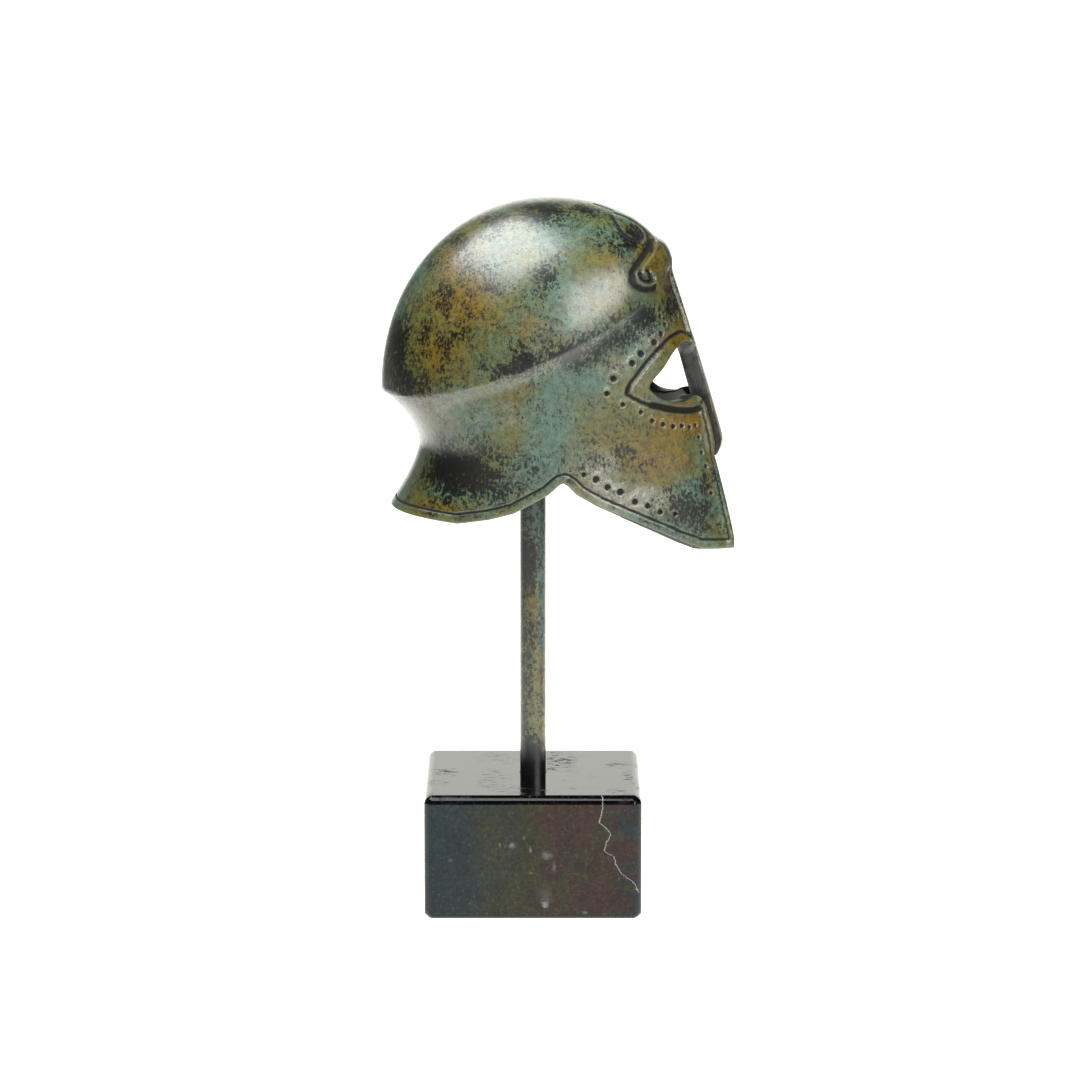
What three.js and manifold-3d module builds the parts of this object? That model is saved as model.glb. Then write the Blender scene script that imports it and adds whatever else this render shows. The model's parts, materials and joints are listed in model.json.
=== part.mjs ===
// Corinthian helmet, a small bronze casting held on a rod over a marble block.
//
// Millimetres, +Z up. The helmet faces +X. The origin is the centre of the block's underside,
// on the rod's axis. The helmet is symmetric about the XZ plane.

import * as THREE from "three";
import { mergeVertices } from "three/addons/utils/BufferGeometryUtils.js";
import { ParametricGeometry } from "three/addons/geometries/ParametricGeometry.js";
import Module from "manifold-3d";

const wasm = await Module();
wasm.setup();

// ---------------------------------------------------------------- driving dimensions

const GAP = 0.3; // clearance between pieces that meet

// Marble block
const BASE_SIDE = 50;
const BASE_HEIGHT = 29;
const BASE_CHAMFER = 2;
const SOCKET_DEPTH = 15; // blind hole for the rod's foot

// Rod
const ROD_RADIUS = 3;
const ROD_TOP = 157; // height of the rod's upper end, inside the crown's boss
const BOSS_RADIUS = 6.5;
const BOSS_FOOT = 149; // height of the boss's lower face

// Helmet shell
const WALL = 3;
const APEX = { x: 4, z: 164.4 }; // top of the crown
const MIDDLE = -3; // x where the front and back halves of every ring meet
const DOME_POWER = 2.05; // 2 is an elliptic dome, more is fuller

// Rings are drawn in plan. front and back are where a ring crosses the symmetry plane, half is its
// half width; the powers bend each half of the ring, below 1.8 towards a keel, above 2 towards a box.
const RINGS = {
  crease: { front: 31.5, back: -35.0, half: 26.0, frontX: 2.0, frontY: 0.5, backX: 2.1, backY: 0.5 },
  waist: { front: 43.2, back: -26.3, half: 24.0, frontX: 1.6, frontY: 0.6, backX: 2.3, backY: 0.45 },
  hem: { front: 50.9, back: -32.9, half: 24.5, frontX: 1.5, frontY: 0.7, backX: 2.4, backY: 0.42 },
};

// The crease under the crown climbs from the nape to the brow
const CREASE_NAPE = 120.3;
const CREASE_RISE = 26;
const CREASE_SWEEP = 1.9; // how late the climb comes
const WAIST_HEIGHT = 107.7;

// How round the profile runs through the waist, 1 being straight, and how far the nape's share of
// it reaches forwards, less reaching further
const NECK_BEND = { nape: 1.9, front: 1.08 };
const SKIRT_BEND = { nape: 1.5, front: 1.0 };
const BEND_REACH = 0.6;

// Lower edge of the shell, seen from the side
const HEM = [
  { x: -34.0, z: 93.6 },
  { x: -26.0, z: 93.1 },
  { x: -17.5, z: 92.4 },
  { x: -10.2, z: 93.6 },
  { x: -4.4, z: 95.1 },
  { x: 3.5, z: 99.2 },
  { x: 6.2, z: 101.5 },
  { x: 7.2, z: 101.8 }, // notch between neck guard and cheek guard
  { x: 8.5, z: 101.0 },
  { x: 10.5, z: 98.9 },
  { x: 15.3, z: 96.0 },
  { x: 21.6, z: 92.9 },
  { x: 28.5, z: 89.5 },
  { x: 35.0, z: 86.2 },
  { x: 38.8, z: 84.5 },
  { x: 46.9, z: 83.6 },
  { x: 60.0, z: 83.3 },
];
const HEM_NAPE = 93.5; // height of the hem ring at the nape and at the front
const HEM_FRONT = 83.0;

// Face opening, seen from the front, right half. The left half is its mirror image.
const FACE_OPENING = [
  { y: 5.6, z: 78.0 }, // below the cheek guards
  { y: 5.4, z: 84.0 },
  { y: 4.8, z: 114.0 },
  { y: 5.0, z: 117.2 }, // upper front corner of the cheek guard
  { y: 6.6, z: 119.3 },
  { y: 9.1, z: 118.5 },
  { y: 11.8, z: 118.5 },
  { y: 13.8, z: 119.5 },
  { y: 15.4, z: 122.6 }, // outer corner of the eye
  { y: 12.6, z: 126.8 },
  { y: 9.6, z: 130.3 },
  { y: 6.6, z: 131.9 },
  { y: 4.6, z: 131.6 },
  { y: 3.3, z: 129.5 }, // root of the nasal guard
  { y: 3.3, z: 118.0 },
  { y: 3.9, z: 109.5 },
  { y: 3.2, z: 106.2 },
  { y: 1.6, z: 105.0 }, // tip of the nasal guard
];
const EYE_FIRST = 4; // first and last rows of the table that run round the eye
const EYE_LAST = 13;
const EYE_CENTRE = { y: 9.0, z: 124.3 };
const OPENING_DEPTH = 45; // the cut runs this far along X
const OPENING_START = 18;

// Raised parts of the casting, as heights above the shell
const LIP_HEIGHT = 0.5;
const LIP_WIDTH = 2.3;
const BAND_HEIGHT = 1;
const BAND_HALF = 3.2;
const BAND_TOP = 148.5;
const BAND_FOOT = 104;
const VOLUTE_HEIGHT = 0.8;
const VOLUTE_WIDTH = 1.1;
const VOLUTE_CLOSING = 0.62; // share of its radius that a scroll loses on its way in
const VOLUTE_STEPS = 26;

// Volutes on the brow, seen from the front, right half: a lower scroll and an upper hook
const VOLUTES = [
  { y: 13.0, z: 147.8, radius: 2.9, start: 60, turns: 1.25, stemY: 5.0, stemZ: 155.2 },
  { y: 8.0, z: 156.6, radius: 2.0, start: 60, turns: 1.0, stemY: 3.5, stemZ: 161.0 },
];

// Mesh fineness: columns round the helmet, rows down each wall, sides of a round bar
const COLUMNS = 72;
const OUTER_ROWS = { dome: 11, neck: 7, skirt: 5 };
const INNER_ROWS = { dome: 8, neck: 4, skirt: 3 };
const ROUND_SIDES = 24;

const HEM_PASSES = 12; // corrections that settle the lower edge
const WELD = 1e-4; // vertices nearer than this are one
const OVERSHOOT = 1; // how far a cutting bar runs past the face that it cuts

// ---------------------------------------------------------------- shell surface

const lerp = THREE.MathUtils.lerp;
const degrees = THREE.MathUtils.degToRad;

// Point of a ring at an angle round the helmet, 0 at the front, moved outwards by a distance
function ringPoint(ring, angle, outwards) {
  const cos = Math.cos(angle);
  const sin = Math.sin(angle);
  const atFront = cos >= 0;
  const reach = atFront ? ring.front - MIDDLE : MIDDLE - ring.back;
  const powerX = 2 / (atFront ? ring.frontX : ring.backX);
  const powerY = 2 * (atFront ? ring.frontY : ring.backY);
  return {
    x: MIDDLE + Math.sign(cos) * (reach + outwards) * Math.abs(cos) ** powerX,
    y: Math.sign(sin) * (ring.half + outwards) * Math.abs(sin) ** powerY,
  };
}

// 1 at the front of the helmet, 0 at the nape
const frontness = (angle) => (1 + Math.cos(angle)) / 2;

const bendPower = (bend, angle) => lerp(bend.nape, bend.front, frontness(angle) ** BEND_REACH);

function creaseHeight(angle) {
  return CREASE_NAPE + CREASE_RISE * frontness(angle) ** CREASE_SWEEP;
}

function hemHeight(x) {
  const next = Math.max(1, HEM.findIndex((row) => row.x >= x));
  const a = HEM[next - 1];
  const b = HEM[next];
  return lerp(a.z, b.z, (x - a.x) / (b.x - a.x));
}

// Crown, from the crease at rise 0 to the apex at rise 1
function domePoint(angle, rise, outwards) {
  const edge = ringPoint(RINGS.crease, angle, outwards);
  const turn = (rise * Math.PI) / 2;
  const inwards = Math.cos(turn) ** (2 / DOME_POWER);
  const upwards = Math.sin(turn) ** (2 / DOME_POWER);
  const foot = creaseHeight(angle);
  return {
    x: APEX.x + (edge.x - APEX.x) * inwards,
    y: edge.y * inwards,
    z: foot + (APEX.z + outwards - foot) * upwards,
  };
}

// Hollow band from the crease at fall 0 to the waist at fall 1
function neckPoint(angle, fall, outwards) {
  const top = ringPoint(RINGS.crease, angle, outwards);
  const foot = ringPoint(RINGS.waist, angle, outwards);
  const bend = 1 - (1 - fall) ** bendPower(NECK_BEND, angle);
  return {
    x: lerp(top.x, foot.x, bend),
    y: lerp(top.y, foot.y, bend),
    z: lerp(creaseHeight(angle), WAIST_HEIGHT, fall),
  };
}

// Flare below the waist; fall 1 is the level of the hem ring
function skirtPoint(angle, fall, outwards) {
  const top = ringPoint(RINGS.waist, angle, outwards);
  const foot = ringPoint(RINGS.hem, angle, outwards);
  const flare = Math.max(fall, 0) ** bendPower(SKIRT_BEND, angle);
  return {
    x: lerp(top.x, foot.x, flare),
    y: lerp(top.y, foot.y, flare),
    z: lerp(WAIST_HEIGHT, lerp(HEM_NAPE, HEM_FRONT, frontness(angle)), fall),
  };
}

// How far down the flare the shell's lower edge lies, found by repeated correction
function hemFall(angle) {
  const foot = lerp(HEM_NAPE, HEM_FRONT, frontness(angle));
  let fall = 1;
  for (let pass = 0; pass < HEM_PASSES; pass += 1) {
    const edge = hemHeight(skirtPoint(angle, fall, 0).x);
    fall = (WAIST_HEIGHT - edge) / (WAIST_HEIGHT - foot);
  }
  return fall;
}

// Rows of the closed shell: down the outer wall from the apex, then up the inner wall
function shellRows(outwards, inwards) {
  const skirt = (angle, share, offset) => skirtPoint(angle, share * hemFall(angle), offset);
  const falling = (t) => t;
  const rising = (t) => 1 - t;
  const rows = (first, count, point, offset, level) =>
    Array.from({ length: count + 1 - first }, (_, i) => ({
      point,
      offset,
      level: level((i + first) / count),
    }));
  return [
    ...rows(0, OUTER_ROWS.dome, domePoint, outwards, rising),
    ...rows(1, OUTER_ROWS.neck, neckPoint, outwards, falling),
    ...rows(1, OUTER_ROWS.skirt, skirt, outwards, falling),
    ...rows(0, INNER_ROWS.skirt, skirt, inwards, rising),
    ...rows(1, INNER_ROWS.neck, neckPoint, inwards, rising),
    ...rows(1, INNER_ROWS.dome, domePoint, inwards, falling),
  ];
}

// ---------------------------------------------------------------- solids

// Welds a closed geometry into a manifold solid, without the empty triangles of its poles
function toSolid(geometry) {
  const bare = geometry.clone();
  bare.deleteAttribute("normal");
  bare.deleteAttribute("uv");
  const welded = mergeVertices(bare, WELD);
  const index = Array.from(welded.index.array);
  const kept = [];
  for (let i = 0; i < index.length; i += 3) {
    const [a, b, c] = index.slice(i, i + 3);
    if (a !== b && b !== c && c !== a) kept.push(a, b, c);
  }
  return new wasm.Manifold(
    new wasm.Mesh({
      numProp: 3,
      vertProperties: new Float32Array(welded.attributes.position.array),
      triVerts: new Uint32Array(kept),
    }),
  );
}

function toGeometry(solid) {
  const { vertProperties, triVerts, numProp } = solid.getMesh();
  const geometry = new THREE.BufferGeometry();
  const positions = new Float32Array((vertProperties.length / numProp) * 3);
  for (let i = 0; i < positions.length; i += 3) {
    const from = (i / 3) * numProp;
    positions.set(vertProperties.slice(from, from + 3), i);
  }
  geometry.setAttribute("position", new THREE.BufferAttribute(positions, 3));
  geometry.setIndex(new THREE.BufferAttribute(new Uint32Array(triVerts), 1));
  return geometry;
}

// Closed shell between two offsets of the helmet's surface
function shellSolid(outwards, inwards) {
  const rows = shellRows(outwards, inwards);
  const place = (u, v, target) => {
    const row = rows[Math.round(v * (rows.length - 1))];
    const angle = -u * 2 * Math.PI;
    const { x, y, z } = row.point(angle, row.level, row.offset);
    target.set(x, y, z);
  };
  return toSolid(new ParametricGeometry(place, COLUMNS, rows.length - 1));
}

// A shape drawn from the front, in y and z, carried along X
function frontPrism(points) {
  const shape = new THREE.Shape(points.map(({ y, z }) => new THREE.Vector2(y, z)));
  const geometry = new THREE.ExtrudeGeometry(shape, { depth: OPENING_DEPTH, bevelEnabled: false });
  const turn = new THREE.Matrix4().makeBasis(
    new THREE.Vector3(0, 1, 0),
    new THREE.Vector3(0, 0, 1),
    new THREE.Vector3(1, 0, 0),
  );
  geometry.applyMatrix4(turn);
  geometry.translate(OPENING_START, 0, 0);
  return toSolid(geometry);
}

const mirrored = (points) => points.map(({ y, z }) => ({ y: -y, z })).reverse();

// The eye's outline, grown away from its middle by the lip's width
function lipOutline() {
  return FACE_OPENING.slice(EYE_FIRST, EYE_LAST + 1).map(({ y, z }) => {
    const out = new THREE.Vector2(y - EYE_CENTRE.y, z - EYE_CENTRE.z);
    out.setLength(out.length() + LIP_WIDTH);
    return { y: EYE_CENTRE.y + out.x, z: EYE_CENTRE.z + out.y };
  });
}

// A scroll that winds in to its middle from a stem, as a strip of even width
function voluteOutline({ y, z, radius, start, turns, stemY, stemZ }) {
  const middle = [new THREE.Vector2(stemY, stemZ)];
  for (let i = 0; i <= VOLUTE_STEPS; i += 1) {
    const share = i / VOLUTE_STEPS;
    const angle = degrees(start) - share * turns * 2 * Math.PI;
    const reach = radius * (1 - VOLUTE_CLOSING * share);
    middle.push(new THREE.Vector2(y + reach * Math.cos(angle), z + reach * Math.sin(angle)));
  }
  const side = (sign) =>
    middle.map((point, i) => {
      const ahead = middle[Math.min(i + 1, middle.length - 1)];
      const behind = middle[Math.max(i - 1, 0)];
      const along = ahead.clone().sub(behind).normalize();
      const half = (sign * VOLUTE_WIDTH) / 2;
      return { y: point.x - along.y * half, z: point.y + along.x * half };
    });
  return [...side(1), ...side(-1).reverse()];
}

// Relief of one height over the shell, in the places that the outlines give on both sides
function relief(outlines, height) {
  const skin = shellSolid(height, -WALL / 2);
  const places = outlines.flatMap((points) => [frontPrism(points), frontPrism(mirrored(points))]);
  return wasm.Manifold.union(places).intersect(skin);
}

// An upright round bar on the rod's axis
function roundBar(radius, foot, top) {
  const cylinder = new THREE.CylinderGeometry(radius, radius, top - foot, ROUND_SIDES);
  cylinder.rotateX(Math.PI / 2);
  cylinder.translate(0, 0, (foot + top) / 2);
  return cylinder;
}

// ---------------------------------------------------------------- pieces

function helmetShell() {
  const band = [
    { y: -BAND_HALF, z: BAND_FOOT },
    { y: BAND_HALF, z: BAND_FOOT },
    { y: BAND_HALF, z: BAND_TOP },
    { y: -BAND_HALF, z: BAND_TOP },
  ];
  const opening = frontPrism([...FACE_OPENING, ...mirrored(FACE_OPENING)]);
  const boss = toSolid(roundBar(BOSS_RADIUS, BOSS_FOOT, APEX.z - WALL / 2));
  const socket = toSolid(roundBar(ROD_RADIUS + GAP, BOSS_FOOT - OVERSHOOT, ROD_TOP + GAP));
  const shell = shellSolid(0, -WALL)
    .add(relief([lipOutline()], LIP_HEIGHT))
    .add(relief([band], BAND_HEIGHT))
    .add(relief(VOLUTES.map(voluteOutline), VOLUTE_HEIGHT))
    .subtract(opening)
    .add(boss)
    .subtract(socket);
  return toGeometry(shell);
}

function standRod() {
  return roundBar(ROD_RADIUS, BASE_HEIGHT - SOCKET_DEPTH + GAP, ROD_TOP);
}

function marbleBase() {
  const half = BASE_SIDE / 2 - BASE_CHAMFER;
  const corner = half - BASE_CHAMFER;
  const outline = new THREE.Shape([
    new THREE.Vector2(half, -corner),
    new THREE.Vector2(half, corner),
    new THREE.Vector2(corner, half),
    new THREE.Vector2(-corner, half),
    new THREE.Vector2(-half, corner),
    new THREE.Vector2(-half, -corner),
    new THREE.Vector2(-corner, -half),
    new THREE.Vector2(corner, -half),
  ]);
  const block = new THREE.ExtrudeGeometry(outline, {
    depth: BASE_HEIGHT - 2 * BASE_CHAMFER,
    bevelThickness: BASE_CHAMFER,
    bevelSize: BASE_CHAMFER,
    bevelSegments: 1,
  });
  block.translate(0, 0, BASE_CHAMFER);
  const foot = BASE_HEIGHT - SOCKET_DEPTH;
  const socket = roundBar(ROD_RADIUS + GAP, foot, BASE_HEIGHT + OVERSHOOT);
  return toGeometry(toSolid(block).subtract(toSolid(socket)));
}

// ---------------------------------------------------------------- scene graph

const bronze = new THREE.MeshStandardMaterial({ color: 0x5e6b55, roughness: 0.38, metalness: 0.5 });
const darkMetal = new THREE.MeshStandardMaterial({ color: 0x46493c, roughness: 0.55, metalness: 0.5 });
const marble = new THREE.MeshStandardMaterial({ color: 0x14161a, roughness: 0.12, metalness: 0 });

const group = new THREE.Group();
for (const [name, geometry, material] of [
  ["helmet_shell", helmetShell(), bronze],
  ["stand_rod", standRod(), darkMetal],
  ["marble_base", marbleBase(), marble],
]) {
  const mesh = new THREE.Mesh(geometry, material);
  mesh.name = name;
  group.add(mesh);
}

export default group;
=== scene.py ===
"""A small corinthian helmet of patinated bronze, on a rod over a marble block.

Laid out as an add-on: property groups hold the sizes and colours, one operator makes each
piece, one makes the stage, and a panel lists them. The packed model gives the frame; every
new piece is a surface worked out with numpy. Lengths inside the functions are millimetres
unless a name says otherwise, and meshes are written in metres.
"""

import json
from typing import NamedTuple

import bpy
import numpy as np
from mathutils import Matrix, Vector

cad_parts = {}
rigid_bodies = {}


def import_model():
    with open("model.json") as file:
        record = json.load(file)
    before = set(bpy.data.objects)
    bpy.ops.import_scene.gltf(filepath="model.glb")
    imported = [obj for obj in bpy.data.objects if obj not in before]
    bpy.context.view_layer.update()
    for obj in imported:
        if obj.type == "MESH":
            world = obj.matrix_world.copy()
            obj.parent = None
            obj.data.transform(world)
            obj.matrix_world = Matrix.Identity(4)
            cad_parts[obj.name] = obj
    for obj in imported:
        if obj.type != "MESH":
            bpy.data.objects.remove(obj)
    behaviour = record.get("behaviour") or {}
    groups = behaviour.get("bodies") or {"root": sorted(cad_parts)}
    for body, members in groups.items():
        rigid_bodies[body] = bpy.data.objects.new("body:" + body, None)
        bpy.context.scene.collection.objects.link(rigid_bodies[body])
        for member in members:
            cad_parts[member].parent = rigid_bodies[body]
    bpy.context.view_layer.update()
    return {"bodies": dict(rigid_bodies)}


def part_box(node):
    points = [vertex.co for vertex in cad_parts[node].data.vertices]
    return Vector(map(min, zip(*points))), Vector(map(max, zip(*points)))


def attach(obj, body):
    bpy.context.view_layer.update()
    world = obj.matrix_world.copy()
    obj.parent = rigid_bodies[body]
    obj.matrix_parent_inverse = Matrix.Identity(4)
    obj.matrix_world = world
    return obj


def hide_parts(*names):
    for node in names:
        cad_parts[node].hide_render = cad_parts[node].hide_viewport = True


bl_info = {
    "name": "Corinthian Helmet",
    "version": (1, 0, 0),
    "blender": (4, 5, 0),
    "location": "View3D > Sidebar > Helmet",
    "description": "Builds a patinated bronze helmet on a rod over a marble block",
    "category": "Object",
}

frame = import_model()

MM = 0.001
SHELL_LOW, SHELL_HIGH = (np.array(corner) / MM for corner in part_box("helmet_shell"))
ROD_LOW, ROD_HIGH = (np.array(corner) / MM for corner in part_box("stand_rod"))
BLOCK_LOW, BLOCK_HIGH = (np.array(corner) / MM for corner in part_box("marble_base"))
ROOT = next(iter(frame["bodies"]))

# ---------------------------------------------------------------- the helmet's surface


class Ring(NamedTuple):
    """A level of the shell in plan: its reach along X, its half width and its four powers."""

    front: float
    back: float
    half: float
    front_x: float
    front_y: float
    back_x: float
    back_y: float


CREASE = Ring(31.5, SHELL_LOW[0], SHELL_HIGH[1], 2.0, 0.5, 2.1, 0.5)
WAIST = Ring(43.2, -26.3, 24.0, 1.6, 0.6, 2.3, 0.45)
HEM_RING = Ring(50.9, -32.9, 24.5, 1.5, 0.7, 2.4, 0.42)
MIDDLE = -3.0  # x where the front and back halves of a ring meet
APEX_X, APEX_Z = 4.0, SHELL_HIGH[2]
DOME_POWER = 2.05
CREASE_NAPE, CREASE_RISE, CREASE_SWEEP = 120.3, 26.0, 1.9
WAIST_HEIGHT = 107.7
HEM_NAPE, HEM_FRONT = 93.5, 83.0
LEVELS = {"apex": 0.0, "crease": 1.0, "waist": 2.0, "hem": 3.0}

# Lower edge of the shell from the side: x, z
HEM = np.array([
    (-34.0, 93.6), (-26.0, 93.1), (-17.5, 92.4), (-10.2, 93.6), (-4.4, 95.1), (3.5, 99.2),
    (6.2, 101.5), (7.2, 101.8), (8.5, 101.0), (10.5, 98.9), (15.3, 96.0), (21.6, 92.9),
    (28.5, 89.5), (35.0, 86.2), (38.8, 84.5), (46.9, 83.6), (60.0, 83.3),
])

# Right half of the face opening from the front: y, z
FACE_OPENING = np.array([
    (5.7, 74.0), (5.4, 84.0), (5.1, 95.0), (4.9, 105.0), (4.8, 114.0), (5.0, 117.2), (6.6, 119.3),
    (9.1, 118.5), (11.8, 118.5), (13.8, 119.5), (15.4, 122.6), (12.6, 126.8), (9.6, 130.3),
    (6.6, 131.9), (4.6, 131.6), (3.3, 129.5), (3.3, 124.0), (3.3, 118.0), (3.9, 109.5),
    (3.2, 106.2), (1.6, 105.0), (0.0, 104.8),
])


def lerp(a, b, t):
    return a + (b - a) * t


def smoothstep(low, high, x):
    """0 below low, 1 above high, and the cubic 3t^2 - 2t^3 between."""
    t = np.clip((x - low) / (high - low), 0, 1)
    return t * t * (3 - 2 * t)


def ring_xy(ring, turn, outwards):
    """A superellipse in plan: x grows as |cos|^(2/power) and y as |sin|^(2 power)."""
    cos, sin = np.cos(turn), np.sin(turn)
    front = cos >= 0
    reach = np.where(front, ring.front - MIDDLE, MIDDLE - ring.back) + outwards
    power_x = np.where(front, 2 / ring.front_x, 2 / ring.back_x)
    power_y = np.where(front, 2 * ring.front_y, 2 * ring.back_y)
    x = MIDDLE + np.sign(cos) * reach * np.abs(cos) ** power_x
    y = np.sign(sin) * (ring.half + outwards) * np.abs(sin) ** power_y
    return x, y


def crease_height(turn):
    return CREASE_NAPE + CREASE_RISE * ((1 + np.cos(turn)) / 2) ** CREASE_SWEEP


def dome(turn, rise, outwards):
    """An elliptic quarter arc from each crease point, at rise 0, to the apex, at rise 1."""
    x, y = ring_xy(CREASE, turn, outwards)
    foot = crease_height(turn)
    inwards = np.cos(rise * np.pi / 2) ** (2 / DOME_POWER)
    upwards = np.sin(rise * np.pi / 2) ** (2 / DOME_POWER)
    return np.stack([
        APEX_X + (x - APEX_X) * inwards,
        y * inwards,
        foot + (APEX_Z + outwards - foot) * upwards,
    ], -1)


def neck(turn, fall, outwards):
    """Crease ring to waist ring, drawn in early near the nape so that the band is hollow."""
    front = (1 + np.cos(turn)) / 2
    bend = 1 - (1 - fall) ** lerp(1.9, 1.08, front ** 0.6)
    top, foot = ring_xy(CREASE, turn, outwards), ring_xy(WAIST, turn, outwards)
    under = 1.2 * smoothstep(0.25, 0.8, turn) * (1 - smoothstep(1.8, 2.4, turn))
    hollow = 1 - under * (fall / 0.16) * np.exp(1 - fall / 0.16) / 30
    return np.stack([
        lerp(top[0], foot[0], bend) * hollow,
        lerp(top[1], foot[1], bend) * hollow,
        lerp(crease_height(turn), WAIST_HEIGHT, fall),
    ], -1)


def skirt(turn, fall, outwards):
    """Waist ring to hem ring, flaring late near the nape."""
    front = (1 + np.cos(turn)) / 2
    flare = np.maximum(fall, 0) ** lerp(1.5, 1.0, front ** 0.6)
    top, foot = ring_xy(WAIST, turn, outwards), ring_xy(HEM_RING, turn, outwards)
    return np.stack([
        lerp(top[0], foot[0], flare),
        lerp(top[1], foot[1], flare),
        lerp(WAIST_HEIGHT, lerp(HEM_NAPE, HEM_FRONT, front), fall),
    ], -1)


def hem_fall(turn):
    """How far down the flare the lower edge lies, by repeated correction against the side view."""
    foot = lerp(HEM_NAPE, HEM_FRONT, (1 + np.cos(turn)) / 2)
    fall = np.ones_like(turn)
    for _ in range(12):
        edge = np.interp(skirt(turn, fall, 0)[..., 0], HEM[:, 0], HEM[:, 1])
        fall = (WAIST_HEIGHT - edge) / (WAIST_HEIGHT - foot)
    return fall


TIP_CURL, TIP_START, TIP_END, TIP_HALF = 2.2, 109.0, 104.6, 4.4


def shell_point(chart, outwards=0.0):
    """The shell's surface: column 0 of chart turns from the front, 0, to the nape, pi, and
    column 1 falls from the apex, 0, by the crease, 1, and the waist, 2, to the hem, 3."""
    turn, level = chart[:, 0], chart[:, 1]
    points = dome(turn, np.clip(1 - level, 0, 1), outwards)
    below = level > LEVELS["crease"]
    points[below] = neck(turn[below], np.clip(level[below] - 1, 0, 1), outwards)
    flared = level > LEVELS["waist"]
    fall = (level[flared] - 2) * hem_fall(turn[flared])
    points[flared] = skirt(turn[flared], fall, outwards)
    tip = smoothstep(TIP_START, TIP_END, points[:, 2]) ** 1.5 * (np.abs(points[:, 1]) < TIP_HALF)
    points[:, 0] -= TIP_CURL * tip * (points[:, 0] > 30)
    return points


def shell_normal(chart):
    """The outward normal: the cross product of small steps along both directions of the chart."""
    step = 2e-3
    low = np.clip(chart - step, [0, 1e-3], [np.pi, 3])
    high = np.clip(chart + step, [0, 1e-3], [np.pi, 3])
    turn_low, turn_high = chart.copy(), chart.copy()
    turn_low[:, 0], turn_high[:, 0] = low[:, 0] - step, high[:, 0] + step
    fall_low, fall_high = chart.copy(), chart.copy()
    fall_low[:, 1], fall_high[:, 1] = low[:, 1], high[:, 1]
    for part in (turn_low, turn_high, fall_low, fall_high):
        part[:, 1] = np.maximum(part[:, 1], 1e-3)
    around = shell_point(turn_high) - shell_point(turn_low)
    down = shell_point(fall_high) - shell_point(fall_low)
    normal = np.cross(down, around)
    return normal / np.maximum(np.linalg.norm(normal, axis=1, keepdims=True), 1e-12)


# ---------------------------------------------------------------- lines on the surface


def smooth_line(points, step=0.25):
    """A centripetal Catmull-Rom curve through the points, cut into short equal steps."""
    ends = np.vstack([2 * points[0] - points[1], points, 2 * points[-1] - points[-2]])
    knots = np.concatenate([[0], np.cumsum(np.linalg.norm(np.diff(ends, axis=0), axis=1) ** 0.5)])
    pieces = []
    for i in range(1, len(ends) - 2):
        p, k = ends[i - 1:i + 3], knots[i - 1:i + 3]
        count = max(2, int(np.linalg.norm(p[2] - p[1]) / step))
        t = np.linspace(k[1], k[2], count, endpoint=False)[:, None]
        a = [((k[j + 1] - t) * p[j] + (t - k[j]) * p[j + 1]) / (k[j + 1] - k[j]) for j in range(3)]
        b = [((k[j + 2] - t) * a[j] + (t - k[j]) * a[j + 1]) / (k[j + 2] - k[j]) for j in range(2)]
        pieces.append(((k[2] - t) * b[0] + (t - k[1]) * b[1]) / (k[2] - k[1]))
    return np.vstack(pieces + [points[-1:]])


def distance_to_line(points, line, reach=4.0):
    """Least distance from each point to a run of straight segments, or reach where it is farther."""
    found = np.full(len(points), reach)
    near = np.all((points > line.min(0) - reach) & (points < line.max(0) + reach), axis=1)
    rows = np.flatnonzero(near)
    start, along = line[:-1], np.diff(line, axis=0)
    length = np.maximum((along ** 2).sum(1), 1e-12)
    for part in np.array_split(rows, max(1, len(rows) * len(start) // 4_000_000)):
        offset = points[part, None, :] - start
        t = np.clip((offset * along).sum(2) / length, 0, 1)
        gap = offset - t[..., None] * along
        found[part] = np.minimum(reach, np.sqrt((gap ** 2).sum(2).min(1)))
    return found


def inside_outline(points, outline):
    """Even-odd test in the plane: how often a ray along the first axis crosses the outline."""
    following = np.roll(outline, -1, axis=0)
    inside = np.zeros(len(points), bool)
    for (ax, ay), (bx, by) in zip(outline, following):
        crosses = (ay > points[:, 1]) != (by > points[:, 1])
        slope = (bx - ax) / (by - ay if by != ay else 1e-12)
        inside ^= crosses & (points[:, 0] < ax + (points[:, 1] - ay) * slope)
    return inside


class Survey:
    """Samples of the shell's right half, to lift drawn lines from a view onto the surface."""

    def __init__(self):
        turn, level = np.meshgrid(np.linspace(0, np.pi, 500), np.linspace(0, 3, 700))
        self.chart = np.stack([turn.ravel(), level.ravel()], 1)
        self.points = shell_point(self.chart)

    def lift(self, drawn, axes):
        """The surface point that a drawn point covers, from the front or from the side."""
        shown = self.points if axes == SIDE else self.points[self.points[:, 0] > 8]
        rows = [np.argmin(((shown[:, axes] - spot) ** 2).sum(1)) for spot in drawn]
        return shown[rows]


SIDE, FRONT = [0, 2], [1, 2]  # x, z and y, z
survey = Survey()

OPENING_LINE = smooth_line(FACE_OPENING, 0.4)
OPENING_LOOP = np.vstack([OPENING_LINE, [(0.0, 74.0)]])
"""The face opening's right half as a closed outline in y, z."""


def opening_depth(chart):
    """Signed distance to the face opening as seen from the front: above 0 on metal."""
    points = shell_point(chart)
    seen = np.stack([points[:, 1], points[:, 2]], 1)
    gap = distance_to_line(seen, OPENING_LINE, 4.0)
    faces_front = points[:, 0] > 15
    return np.where(inside_outline(seen, OPENING_LOOP) & faces_front, -gap, gap)


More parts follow.
